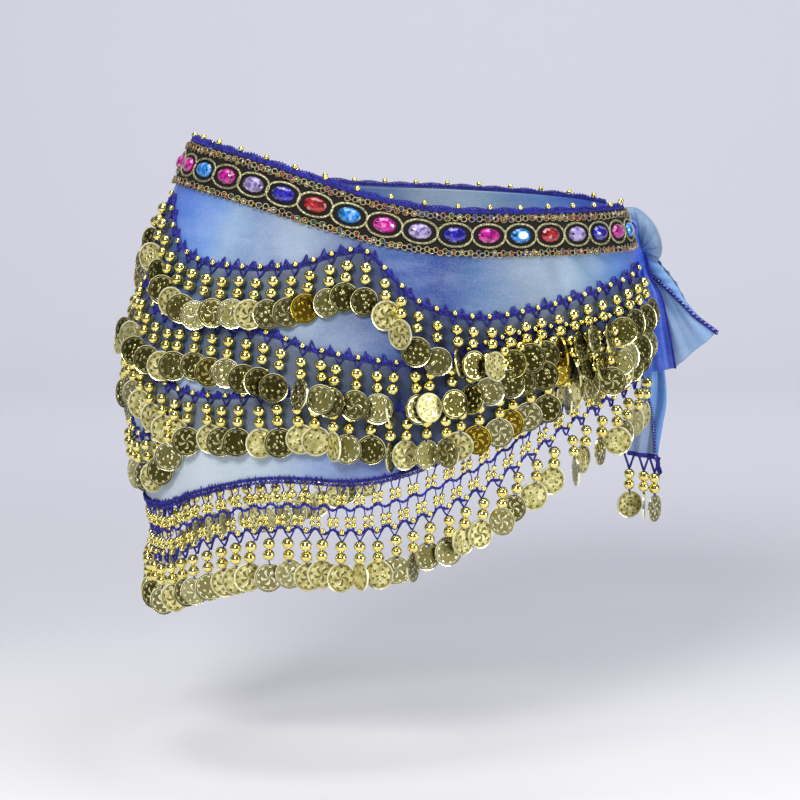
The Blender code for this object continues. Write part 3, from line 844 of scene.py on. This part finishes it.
def cut_shape(name, bands, sides, half_sizes, axes):
    """Closed shape through oval rings, with UV from -1 to 1 across its face.

    Each band is a ring's share of the half sizes, its height, and its turn in steps. Rings that are turned
    against each other are joined by triangles.
    """
    points = []
    for share, height, shift in bands:
        for k in range(sides):
            turn = math.tau * (k + shift) / sides
            point = [height * MM] * 3
            point[axes[0]] = half_sizes[0] * share * math.cos(turn) * MM
            point[axes[1]] = half_sizes[1] * share * math.sin(turn) * MM
            points.append(point)
    faces = [list(range(sides)), [len(points) - 1 - k for k in range(sides)]]
    for b in range(len(bands) - 1):
        for k in range(sides):
            n = (k + 1) % sides
            low, high = b * sides, (b + 1) * sides
            if bands[b + 1][2] > bands[b][2]:
                faces += [[low + k, low + n, high + k], [low + n, high + n, high + k]]
            elif bands[b + 1][2] < bands[b][2]:
                faces += [[low + k, high + n, high + k], [low + k, low + n, high + n]]
            else:
                faces.append([low + k, low + n, high + n, high + k])
    item = mesh_object(name, points, faces)
    mesh = bmesh.new()
    mesh.from_mesh(item.data)
    bmesh.ops.recalc_face_normals(mesh, faces=mesh.faces)
    mesh.to_mesh(item.data)
    mesh.free()
    layer = item.data.uv_layers.new(name="face")
    for loop in item.data.loops:
        place = item.data.vertices[loop.vertex_index].co
        layer.data[loop.index].uv = [place[axis] / (half * MM) for axis, half in zip(axes, half_sizes)]
    return item


# Thin stamped coin with a raised rim on both faces, facing -Y
COIN = cut_shape(
    "coin_shape", [(0.92, -0.36, 0), (1, -0.56, 0), (1, 0.56, 0), (0.92, 0.36, 0)], 20,
    (COIN_RADIUS, COIN_RADIUS), (0, 2),
)


def oval_ring_shape(name, half_width, half_height, thick, segments, sides, square=2.0):
    """Oval ring in the XY plane, a little flattened against the band."""
    points = []
    faces = []
    for s in range(segments):
        turn = math.tau * s / segments
        squared = (abs(math.cos(turn)) ** square + abs(math.sin(turn)) ** square) ** (-1 / square)
        centre = Vector((half_width * squared * math.cos(turn), half_height * squared * math.sin(turn), 0))
        away = Vector((math.cos(turn) / half_width, math.sin(turn) / half_height, 0)).normalized()
        for k in range(sides):
            spin = math.tau * k / sides
            lift = Vector((0, 0, thick * 0.8 * math.sin(spin)))
            points.append(centre + away * (thick * math.cos(spin)) + lift)
            n = (s + 1) % segments
            m = (k + 1) % sides
            faces.append([s * sides + k, n * sides + k, n * sides + m, s * sides + m])
    return mesh_object(name, [tuple(p * MM) for p in points], faces)


GEM_COLOURS = {
    "royal": srgb(34, 26, 172), "magenta": srgb(196, 12, 148), "sky": srgb(16, 136, 222),
    "lilac": srgb(164, 144, 204), "red": srgb(168, 10, 12),
}
# From the tie round the front to the right hip, as the photo shows them
GEM_ORDER = [
    "royal", "sky", "magenta", "royal", "lilac", "red", "sky", "magenta", "royal", "lilac", "magenta", "sky",
    "red", "royal", "lilac", "magenta", "sky", "magenta", "royal",
]
DOT_COLOURS = [
    srgb(170, 20, 30), srgb(206, 96, 22), srgb(30, 60, 180), srgb(24, 110, 64), srgb(206, 176, 84),
    srgb(236, 226, 190),
]


def make_ribbon():
    """Velvet ribbon, with a small roll at both edges."""
    distances = np.linspace(*BAND_ENDS, 420)
    top = line_at("top", distances)[:, None]
    section = np.array([
        (-0.4, 0.3), (-0.6, 1.2), (-2.0, 1.5), (-6.0, 1.6), (-10.0, 1.7), (-14.0, 1.75), (-18.0, 1.7),
        (-22.0, 1.6), (-25.4, 1.5), (-26.9, 1.2), (-27.1, 0.3),
    ])
    points = form(angle_at(distances)[:, None], top + section[:, 0], section[:, 1])
    places = np.stack(np.broadcast_arrays(distances[:, None] * MM, -section[:, 0] * MM), -1)
    ribbon = keep(grid_object("velvet_ribbon", points, "ribbon", 0.6, places), ["trim_band"])
    flat = (float(BAND_ENDS[1] - BAND_ENDS[0]) * MM, BAND_DROP * MM)
    min(grid_area(points), 0.99 * flat[0] * flat[1])


def make_gems():
    """Oval gems along the ribbon, each in its outline."""
    start, stop = BAND_ENDS
    count = int(round((stop - start) / GEM_PITCH))
    pitch = (stop - start) / count
    centres = start + pitch * (np.arange(count) + 0.5)
    middle = line_at("top", centres) - BAND_DROP / 2
    slope = (line_at("top", centres + 4) - line_at("top", centres - 4)) / 8
    along, up, out = scarf_frames(centres, middle, slope)
    turns = euler(along, up, out)
    base = form(angle_at(centres), middle, 2.1)
    sizes = np.tile([pitch * 0.93 / GEM_PITCH, 1, 1], (count, 1))
    ring = oval_ring_shape("oval_shape", 12.6, 7.5, 0.8, 32, 6, 2.15)
    grown(
        points_object(base, turns, sizes), "smooth_copies", "oval_links", "ribbon",
        Shape=ring, Material=MATERIALS["cord"],
    )
    # Flat-backed, with a table, two bands of facets and a girdle
    bands = [(1, 0, 0), (1, 0.9, 0), (0.8, 2.5, 0.5), (0.5, 3.5, 0)]
    gem = cut_shape("gem_shape", bands, 12, (7.6, 5.0), (0, 1))
    gems = points_object(form(angle_at(centres), middle, 1.8), turns)
    half = [GEM_COLOURS[name] for name in GEM_ORDER[: (count + 1) // 2]]
    colours = (half + half[::-1])[:count]
    set_attribute(gems, "gem_colour", "FLOAT_COLOR", [(*c, 1.0) for c in colours])
    grown(gems, "cut_copies", "oval_gems", "gems", Shape=gem, Material=MATERIALS["gem"])
    for shape in (ring, gem):
        bpy.data.objects.remove(shape, do_unlink=True)


def make_braids():
    """Ring braid along both edges of the ribbon, with coloured dots in it."""
    start, stop = BAND_ENDS
    link = oval_ring_shape("link_shape", 1.8, 1.6, 0.33, 12, 5)
    places, frames, dots = [], [], []
    for drop in (BRAID_WIDTH / 2, BAND_DROP - BRAID_WIDTH / 2):
        spots = np.arange(start + 2, stop - 1, 3.1)
        spots = spots + random.normal(0, 0.22, len(spots))
        offset = 0.75 * (-1.0) ** np.arange(len(spots)) + random.normal(0, 0.3, len(spots))
        heights = line_at("top", spots) - drop + offset
        slopes = (line_at("top", spots + 2) - line_at("top", spots - 2)) / 4
        along, up, out = scarf_frames(spots, heights, slopes)
        lean = np.radians(16 * (-1.0) ** np.arange(len(spots)))[:, None]
        tilted = along * np.cos(lean) + out * np.sin(lean)
        frames += euler(tilted, up, np.cross(tilted, up))
        places.append(form(angle_at(spots), heights, 2.4))
        dots.append(form(angle_at(spots + 1.55), heights - 1.7 * offset + 0.4 * np.sin(spots * 2.1), 2.3))
        dots.append(form(angle_at(spots), heights, 2.4))
    places = np.concatenate(places)
    tints = np.repeat(random.random(len(places) // 6 + 1), 6)[: len(places)]
    grown(
        points_object(places, frames, None, tints), "smooth_copies", "ring_braid", "braid",
        ["braid_upper", "braid_lower"], Shape=link, Material=MATERIALS["ring"],
    )
    bpy.data.objects.remove(link, do_unlink=True)
    dots = np.concatenate(dots)
    dots = dots[random.random(len(dots)) < 0.5]
    spots = points_object(dots)
    picks = random.integers(0, len(DOT_COLOURS), len(dots))
    set_attribute(spots, "dot_colour", "FLOAT_COLOR", [(*DOT_COLOURS[i], 1.0) for i in picks])
    round_beads(spots, "braid_dots", 0.85, "braid", 1, "dot")


def make_top_edging():
    """Blue crochet over the band, with small gold beads."""
    start, stop = BAND_ENDS
    spots = np.arange(start + 8, stop - 4, GEM_PITCH)
    paths = twisted_cord("top", start, stop, -0.6, 0.5, 0.6)
    paths += twisted_cord("top", start, stop, -1.7, 0.1, 0.6, 4.1)
    paths += twisted_cord("top", start, stop, -2.8, 0.3, 0.8, 5.9, -0.6, spots)
    paths += loose_loops("top", start, stop, -2.2, -1.9, 1.7, 1.9, 0.2)
    threads(paths, "top_edging", 0.5, ["top_crochet"])
    beads = scarf(spots, line_at("top", spots) + 3.9 + 0.8 * random.random(len(spots)), 0.9)
    sizes = np.ones((len(spots), 3)) * (0.9 + 0.15 * random.random((len(spots), 1)))
    round_beads(points_object(beads, None, sizes), "top_beads", 2.0)


# How far a row's coins stand in front of the row named, where both hang close together
STACKED = {"row_2": 5.4, "row_3": 3.2}
# Power of a row's random tints: the higher it is, the more of the row's coins are painted dark, as if
# catching less light
PAINTED_DARKNESS = {"row_1": 1.9, "row_2": 1.8, "row_3": 0.9, "row_4": 0.6, "bottom": 0.5}
# Shares of the girth between which the coins are seen at the photo's left edge and turn one way
EDGE_COINS = (0.37, 0.6)


def coin_yaws(centres):
    """Turn of each coin in degrees: runs that shingle one way, parted by a coin that hangs nearly edge-on."""
    yaws = []
    sign, left = -1, 4
    for centre in centres:
        near = min(centre, GIRTH - centre)
        beside_tie = math.exp(-(near / 80) ** 2)
        size = 9 + 15 * random.random() * (1 - 0.6 * beside_tie) + 6 * beside_tie
        left -= 1
        if EDGE_COINS[0] * GIRTH < centre < EDGE_COINS[1] * GIRTH:
            sign = 1
            yaws.append(10 + 26 * random.random())
        elif left <= 0 and 100 < near < 0.36 * GIRTH:
            yaws.append(sign * (52 + 16 * random.random()))
            sign = -sign
            left = int(random.integers(3, 8))
        else:
            yaws.append(sign * size)
    return np.array(yaws)


def pendant_places(line, centres, next_line=None, drop=0.0):
    """Where each pendant's two beads and coin hang, and how the coin is turned."""
    count = len(centres)
    heights = line_at(line, centres) - drop + random.normal(0, 0.5, count)
    cover = np.zeros(count)
    lift = np.zeros(count)
    if next_line:
        gap = heights - line_at(next_line, centres)
        cover = np.clip((46 - gap) / 10, 0, 1) * (gap > 2)
        close = np.clip((24 - gap) / 6, 0, 1)
        lift = 6.4 * cover * (1 - close) + STACKED[next_line] * close
    sway = random.normal(0, 0.9, count)
    out = scarf_frames(centres, heights - COIN_DROP)[2]
    yaw = np.radians(coin_yaws(centres))
    pitch = np.radians(2 + 9 * cover)
    turned = np.abs(np.sin(yaw))
    lift = lift * np.clip(1.5 * (1 - turned), 0, 1)
    coin_out = 1.6 - 0.8 * turned + (COIN_RADIUS - 0.8) * turned + lift
    drops = COIN_DROP - 1.3 + random.normal(0, 0.8, count)
    coins = form(angle_at(centres + sway * 1.6), heights - drops, coin_out)
    beads = []
    for down, share in zip(BEAD_DROPS, (0.25, 0.6)):
        bead_out = LARGE_BEAD + 0.5 + share * np.maximum(coin_out - lift - LARGE_BEAD - 1, 0)
        beads.append(form(angle_at(centres + sway * down / 17), heights - down, bead_out))
    turns = []
    for o, y, p, roll in zip(out, yaw, pitch, random.normal(0, 0.10, count)):
        level = Vector((o[0], o[1], 0)).normalized()
        frame = Matrix((Vector((0, 0, 1)).cross(level), -level, Vector((0, 0, 1)))).transposed()
        spin = Matrix.Rotation(y, 3, "Z") @ Matrix.Rotation(-p, 3, "X") @ Matrix.Rotation(roll, 3, "Y")
        turns.append((frame @ spin).to_euler())
    return np.concatenate(beads), coins, turns, beads


def pendant_row(label, line, nodes, start, stop, centres, next_line=None, drop=0.0, strip=True):
    """One row: crochet strip, small beads, large beads and coins."""
    beads, coins, turns, by_drop = pendant_places(line, centres, next_line, drop)
    wave, between = (0.0, ()) if strip else (1.7, (centres[1:] + centres[:-1]) / 2)
    paths = twisted_cord(line, start, stop, drop, 1.4, 0.7, 5.2, wave, between)
    if strip:
        paths += twisted_cord(line, start, stop, drop + 1.5, 1.1, 0.5, 4.3)
        paths += zigzag(line, centres, 3.9, -6.2, drop)
        paths += loose_loops(line, start, stop, drop, -2.8, 2.6, 1.5)
    else:
        paths += twisted_cord(line, start, stop, drop + 0.3, 1.0, 0.5, 4.1, wave, between)
        paths += zigzag(line, centres, 1.9, -6.2, drop)
    tops = offset_path(line, centres, -5.4, 1.6, drop)
    for top, bead, low, coin, turn in zip(tops, by_drop[0], by_drop[1], coins, turns):
        eye = Vector(coin) + Vector(turn.to_matrix() @ Vector((0, 0, (COIN_RADIUS - 1.5) * MM)))
        paths.append(np.array([top, bead, low, low * [1, 1, 0] + [0, 0, low[2] - 4.6 * MM], eye]))
    threads(paths, label + "_crochet", THREAD, nodes)
    size = 1 + random.normal(0, 0.025, (len(beads), 1)) * np.ones(3)
    small = offset_path(line, centres + 0.4 * random.normal(0, 1, len(centres)), 0.4, 2.9, drop)
    places = np.concatenate([beads, small])
    size = np.concatenate([size * [1, 1, 0.94], np.ones((len(small), 3)) * SMALL_BEAD / LARGE_BEAD])
    round_beads(points_object(places, None, size), label + "_beads", LARGE_BEAD)
    # Each coin's tint sets how dark or pale it is painted, as painted reflection.
    tints = random.random(len(coins)) ** PAINTED_DARKNESS[label]
    made = points_object(coins, turns, 1 + random.normal(0, 0.015, (len(coins), 1)) * np.ones(3), tints)
    grown(made, "cut_copies", label + "_coins", "coins", Shape=COIN, Material=MATERIALS["coin"])


def make_net():
    """Open net under the hem: two rows of bead groups, set between each other, on waving threads."""
    start, stop = TIE_GAP + 2, GIRTH - TIE_GAP - 2
    centres = loop_centres(start, stop)
    between = (centres[1:] + centres[:-1]) / 2
    paths = twisted_cord("hem", start, stop, 1.4, 0.3, 0.75)
    paths += twisted_cord("hem", start, stop, -1.6, 0.9, 0.7, 4.4)
    paths += loose_loops("hem", start, stop, -0.8, -3.6, 3.4, 1.05, 0.6)
    paths += loose_loops("hem", start, stop, -0.2, -3.0, 2.6, 1.3, 0.9)
    paths += twisted_cord("hem", start, stop, 1.6 + NET_STEP, -0.1, 0.75, 4.7, 1.5, centres)
    paths += twisted_cord("hem", start, stop, 1.8 + NET_STEP, 0.3, 0.5, 6.1, 1.2, centres)
    beads = []
    shape = [(3.2, 0.6), (2.5, -2.0), (2.1, -4.4), (2.0, -7.0), (2.0, -11.0), (2.4, -14.2)]
    for level, places in ((2.4, centres), (2.4 + NET_STEP, between)):
        for side in (-1, 1):
            for centre in places:
                lean = 0.5 * random.normal(0, 1)
                across = np.array([centre + side * s[0] + lean * s[1] / 16 for s in shape])
                paths.append(offset_path("hem", across, np.array([s[1] for s in shape]), 0.1, level))
            for down in (6.9, 10.8):
                ups = -down + 0.3 * random.normal(0, 1, len(places))
                beads.append(offset_path("hem", places + side * 2.05, ups, 0.3, level))
    threads(paths, "net_crochet", 0.46, ["hem_net_front", "hem_net_back"], 4)
    places = np.concatenate(beads)
    round_beads(points_object(places), "net_beads", 2.0)
    return centres


def tie_point(across, up, forward):
    """Points in the tie's own frame, in metres, from millimetres off the knot."""
    across, up, forward = np.broadcast_arrays(np.asarray(across, float), up, forward)
    offset = across[..., None] * np.array(TIE_ACROSS) + forward[..., None] * np.array(TIE_FORWARD)
    return np.array(TIE_ORIGIN) + (offset + up[..., None] * np.array([0, 0, 1.0])) * MM


# Sections down each loose end: left across and up, right across and up, folds' depth
TAILS = {
    "wing": ("tail_wing", -5.0, [
        (3, -10, 9, -6, 0.5), (6.5, -22.4, 13.5, -15.5, 0.8), (12, -35, 21, -24, 1.1),
        (17, -50, 31, -36.5, 1.3), (22, -67, 43, -50.5, 1.4), (27.5, -88, 57.5, -62.5, 1.2),
    ]),
    "flap": ("tie_flap", 7.0, [
        (-3, -9, 5, -6, 0.5), (0, -22.4, 9, -22.4, 0.8), (1.5, -38, 16.5, -36, 1.0), (3.5, -61, 22, -59, 1.1),
        (7, -90, 27, -86.5, 0.9),
    ]),
    "hanging_end": ("tail_hanging", 1.0, [
        (-2.5, -22.4, 5.5, -22.4, 0.8), (0, -45, 10, -45, 1.2), (3, -70, 16, -70, 1.5),
        (4, -92, 20, -92, 1.7), (1.5, -112, 21, -112, 1.7), (-4, -130, 18.5, -130, 1.5),
        (-5.5, -149, 15.5, -152.5, 1.1),
    ]),
}
HANGING_FORWARD = 1.0
TAIL_COINS = [(-4.0, 22), (6.2, 82), (13.8, 58)]


def sections_at(rows, places):
    """Each column of a table of sections, read at places from 0 to 1 down it."""
    rows = np.array(rows, float)
    stops = np.linspace(0, 1, len(rows))
    return [curve_through(np.stack([stops, column], 1), places) for column in rows.T]


def tail_points(name, share, places, off=0.0):
    """Points on a loose end: share across it and place down it, its folds followed."""
    _, forward, rows = TAILS[name]
    left_across, left_up, right_across, right_up, depth = sections_at(rows, places)
    turn = TAIL_TURNS[name]
    wave = np.sin(share * math.tau * 1.7 + turn + 0.6 * np.sin(places * 6.0 + turn))
    wave = wave + 0.45 * np.sin(share * math.tau * 3.9 + 2.4 * places + turn) * (1.2 - 0.7 * places)
    wave = wave + 0.35 * np.sin(places * 9.0 + 2.2 * share + 2 * turn) * places
    return tie_point(
        left_across + (right_across - left_across) * share, left_up + (right_up - left_up) * share,
        forward + depth * wave + off,
    )


# Crochet that runs down inside the hanging end and the wing: places down, shares across
INNER_EDGE = [(0.0, -0.3), (0.56, 0.06), (0.6, 0.21), (0.67, 0.43), (0.787, 0.67), (0.95, 0.87), (1.0, 0.93)]
BOLD_EDGE = [(0.24, 0.36), (0.3, 0.46), (0.56, 0.8), (0.82, 0.95), (1.0, 0.985)]
BOLD_OFF = [(0.24, 4.0), (0.6, 4.6), (0.76, 3.0), (0.88, 1.2), (1.0, 1.0)]
TAIL_TURNS = {"wing": 0.3, "flap": 1.9, "hanging_end": 3.2}
TAIL_DYES = {"wing": 0.36, "flap": 0.88, "hanging_end": 0.57}


def make_loose_ends():
    """The pointed wing, the folded flap and the hanging end."""
    for name, (node, _, _) in TAILS.items():
        share, places = grid_places((0, 1, 48), (0, 1, 76))
        around = TAIL_DYES[name] + 0.05 * share
        if name == "hanging_end":
            left = np.clip((curve_through(INNER_EDGE, places) - share) / 0.06, 0, 1)
            around = around - 0.5 * left
        dye = np.stack([around, places], -1)
        loose_cloth(name, tail_points(name, share, places), dye, [node])


def edge_stitch(name, share, radius, start=0.03, stop=1.0, off=0.4, turns=46, chains=2):
    """Crochet worked along a loose end. share and off are numbers, or tables by the place down it."""
    places = np.linspace(start, stop, 420)
    share, off = (curve_through(v, places) if isinstance(v, list) else v for v in (share, off))
    spin = places * math.tau * turns
    paths = []
    for chain in range(chains):
        phase = spin + chain * math.tau / chains
        shift = share + 0.022 * np.sin(phase)
        paths.append(tail_points(name, shift, places, off + radius * np.cos(phase)))
    return paths


def make_edge_crochet():
    """Crochet along the ends' edges: bold on the wing, a fine dark line on the flap."""
    paths = edge_stitch("wing", BOLD_EDGE, 1.2, 0.26, 1.0, BOLD_OFF, 26, 3)
    second = edge_stitch("wing", BOLD_EDGE, 0.9, 0.26, 1.0, BOLD_OFF, 31, 2)
    paths += [path + np.array([0, 0, -1.3 * MM]) for path in second]
    paths += edge_stitch("flap", 0.985, 0.6, 0.02, 1.0, 0.5, 52, 3)
    paths += edge_stitch("hanging_end", INNER_EDGE, 0.8, 0.57, 1.0, 1.4, 60, 3)
    across = np.linspace(0, 1, 160)
    for half in (0.0, 2.1, 4.2):
        phase = across * math.tau * 11 + half
        paths.append(tail_points("hanging_end", across, 0.988 + 0.011 * np.sin(phase), 1.3 * np.cos(phase)))
    tuft = np.linspace(0, 1, 60)
    for half in (0.0, 2.1, 4.2):
        phase = tuft * math.tau * 5 + half
        paths.append(tie_point(
            15.0 + 2.6 * tuft + 1.3 * np.sin(phase), -150.5 - 12.0 * tuft + 0.9 * np.cos(1.7 * phase),
            HANGING_FORWARD + 1.0 * np.cos(phase),
        ))
    threads(paths, "tie_edge_crochet", 0.45)
    # Pale strands along the wing's and the hanging end's crochet: painted glints on the stitches.
    pale = edge_stitch("wing", BOLD_EDGE, 1.5, 0.26, 1.0, BOLD_OFF, 26, 1)
    pale += edge_stitch("hanging_end", INNER_EDGE, 1.1, 0.57, 1.0, 1.4, 60, 1)
    threads(pale, "edge_glints", 0.36, material="glint_thread")


def make_knot():
    """The gathered knot that closes the slit, its folds drawn together round the middle."""
    side, level = grid_places((-1, 1, 80), (0, 1, 60))
    height = -13.6 - 44.6 * level
    swell = (1 - np.abs(side) ** 2.4) * (8.2 + 3.6 * np.sin(level * math.pi))
    pinch = 1.0 - 0.22 * np.sin(level * math.pi) ** 2
    folds = 0.9 * np.sin((level - 0.35 * side) * math.tau * 3.4 + 1.4 * side)
    folds = folds + 0.4 * np.sin(level * math.tau * 8.2 - 3 * side)
    rim = np.minimum(1, 4 * np.minimum(level, 1 - level) + 0.35)
    distance = (side * 15.2 * pinch) % GIRTH
    points = form(angle_at(distance), height, (swell + folds * (1 - side ** 2)) * rim + 0.6)
    dye = np.stack([0.94 - 0.3 * (1 - level) ** 2 + 0.02 * side, level], -1)
    loose_cloth("knot_wrap", points, dye, ["tie_knot"], wall=0.7)


# The puff's outline from the top round to the knot: across, up, half depth
PUFF_OUTLINE = [
    (-9.5, 24.6, 4.5), (-5.5, 25.0, 6), (-0.5, 24, 8), (5, 20.2, 10), (10.5, 14, 11.5), (14.5, 6.5, 12),
    (16.5, -1.5, 11), (16, -8, 8.5), (13.5, -13, 6),
]
PUFF_ROOT = (1.8, -3.6)


def make_puff():
    """Sheer puff beside the knot, a bow's loop whose fold is its outline."""
    place, turn = grid_places((0, 1, 84), (-1, 1, 54))
    across, up, depth = sections_at(PUFF_OUTLINE, place)
    reach = 0.05 + 0.95 * np.cos(turn * math.pi / 2) ** 0.8
    folds = np.sin(place * math.tau * 4.6 + 1.3 * turn) + 0.5 * np.sin(place * math.tau * 10.4 - 2 * turn)
    deep = np.sin(turn * math.pi * 0.78) * depth
    gather = 1 - reach
    points = tie_point(
        PUFF_ROOT[0] + (across - PUFF_ROOT[0]) * reach, PUFF_ROOT[1] + (up - PUFF_ROOT[1]) * reach,
        deep + folds * (0.3 + 0.8 * gather) * np.sign(turn),
    )
    dye = np.stack([0.28 + 0.3 * (1 - reach), place], -1)
    loose_cloth("sheer_puff", points, dye, ["tie_loop"], "sheer", 0.4)


# The roll down the wing's upper edge: share down it, across, up, half width
ROLL = np.array([
    (0, 3.5, -4.0, 3.6), (0.3, 13.0, -16.5, 4.2), (0.65, 24.0, -29.5, 3.6), (1, 34.5, -43.5, 0.9),
])


def make_roll():
    """Rolled fold from the knot down the wing's upper edge."""
    place, spin = grid_places((0, 1, 90), (0, 1, 28))
    across, up, width = (curve_through(ROLL[:, (0, column)], place) for column in (1, 2, 3))
    turn = spin * math.tau * 0.86 + 0.8
    wrinkle = 1 + 0.10 * np.sin(place * math.tau * 5 + 3 * turn) + 0.05 * np.sin(place * math.tau * 11 + turn)
    points = tie_point(
        across + 0.72 * width * wrinkle * np.cos(turn), up + 0.6 * width * wrinkle * np.cos(turn),
        -1.0 + 0.75 * width * wrinkle * np.sin(turn),
    )
    dye = np.stack([0.86 - 0.5 * np.clip(3 * place, 0, 1) * (0.7 + 0.3 * np.cos(turn)), spin], -1)
    loose_cloth("rolled_fold", points, dye)


def make_tail_pendants():
    """The three pendants at the tip of the hanging end."""
    paths, beads, coins, turns = [], [], [], []
    for across, turn in TAIL_COINS:
        top = -151.6 - 0.167 * across
        for side in (-1, 1):
            paths.append(tie_point(
                np.array([across + 3.6 * side, across + 1.6 * side, across + 0.3 * side]),
                np.array([top + 3.0, top - 3.0, top - 7.2]), HANGING_FORWARD + 0.5 * side,
            ))
        beads += [tie_point(across, top - down, HANGING_FORWARD) for down in (11.6, 19.2)]
        coin = tie_point(across + 0.4, top - 33.4, HANGING_FORWARD)
        eye = coin + [0, 0, (COIN_RADIUS - 1.5) * MM]
        paths.append(np.array([beads[-2] + [0, 0, 4.4 * MM], beads[-2], beads[-1], eye]))
        coins.append(coin)
        level = Matrix((TIE_ACROSS, -TIE_FORWARD, Vector((0, 0, 1)))).transposed()
        turns.append((level @ Matrix.Rotation(math.radians(turn), 3, "Z")).to_euler())
    threads(paths, "tail_loops", 0.85)
    round_beads(points_object(beads), "tail_beads", LARGE_BEAD)
    grown(
        points_object(coins, turns), "cut_copies", "tail_pendants", "coins", ["tail_coins"],
        Shape=COIN, Material=MATERIALS["coin"],
    )


make_cloth()
make_ribbon()
make_gems()
make_braids()
make_top_edging()
for label, inset, next_line in (("row_1", 0, "row_2"), ("row_2", 8, "row_3"), ("row_3", 16, None)):
    centres = loop_centres(ROW_GAP + inset, GIRTH - ROW_GAP - inset)
    pendant_row(label, label, ["coin_" + label], *ROW_ENDS, centres, next_line)
swag = GIRTH / 2 - HALF_SWAG, GIRTH / 2 + HALF_SWAG
pendant_row("row_4", "row_4", ["coin_row_4"], *swag, loop_centres(*swag))
centres = make_net()
centres = centres[np.minimum(centres, GIRTH - centres) > ROW_GAP]
pendant_row("bottom", "hem", ["hem_coins"], *ROW_ENDS, centres, None, HEM_COIN_DROP, False)
make_knot()
make_puff()
make_roll()
make_loose_ends()
make_edge_crochet()
make_tail_pendants()
bpy.data.objects.remove(COIN, do_unlink=True)


def make_stage():
    """Pale floor that sweeps up into a backdrop."""
    arc = np.linspace(0, math.pi / 2, 60)
    back = np.concatenate([[-2.4, -0.6, 0.2, 0.9], 1.6 + 1.0 * np.sin(arc), [2.6]])
    up = np.concatenate([[FLOOR] * 4, FLOOR + 1.0 - 1.0 * np.cos(arc), [2.6]])
    turn = math.radians(VIEW_TURN)
    sides = np.linspace(-3.6, 3.6, 12)
    points = [
        (s * math.cos(turn) - b * math.sin(turn), s * math.sin(turn) + b * math.cos(turn), u)
        for s in sides for b, u in zip(back, up)
    ]
    item = mesh_object("studio_sweep", points, grid_faces(len(sides), len(back)))
    item.data.shade_smooth()
    # The middle tone is the painted shadow on the floor under the object.
    paper = stage_material("studio_paper", srgb(228, 228, 238), srgb(200, 200, 208), srgb(225, 224, 226))
    item.data.materials.append(paper)


def aimed(name, data, place, aim):
    """Light or camera at a place, turned to face another."""
    item = bpy.data.objects.new(name, data)
    item.location = place
    item.rotation_euler = (Vector(aim) - Vector(place)).to_track_quat("-Z", "Y").to_euler()
    bpy.context.scene.collection.objects.link(item)
    return item


def add_light(name, place, aim, power, size, colour):
    data = bpy.data.lights.new(name, "AREA")
    data.energy = power
    data.shape = "RECTANGLE"
    data.size, data.size_y = size
    data.color = colour
    aimed(name, data, place, aim)


def make_lights():
    world = bpy.data.worlds.new("studio")
    world.use_nodes = True
    colour, strength = world.node_tree.nodes["Background"].inputs[:2]
    colour.default_value = (0.86, 0.87, 0.95, 1)
    strength.default_value = 0.17
    bpy.context.scene.world = world
    bpy.context.scene.view_settings.view_transform = "Standard"
    aim = (0, 0, -0.1)
    add_light("key", (-1.4, -1.9, 1.4), aim, 54, (0.9, 0.7), (1, 0.99, 0.97))
    add_light("fill", (1.8, -1.7, 0.5), aim, 25, (0.6, 1.2), (0.97, 0.98, 1))
    add_light("top", (0.1, -0.1, 2.3), (0.1, 0.2, -0.3), 50, (2.2, 1.8), (0.98, 0.99, 1))


def make_camera():
    target = Vector((0.00522, -0.0016, -0.138))
    turn, rise = math.radians(VIEW_TURN), math.radians(VIEW_RISE)
    away = Vector((math.sin(turn) * math.cos(rise), -math.cos(turn) * math.cos(rise), math.sin(rise)))
    data = bpy.data.cameras.new("photo_view")
    data.sensor_width = 36.0
    data.lens = 131.8
    bpy.context.scene.camera = aimed("photo_view", data, target + away * VIEW_FAR, target)


make_stage()
make_lights()
make_camera()
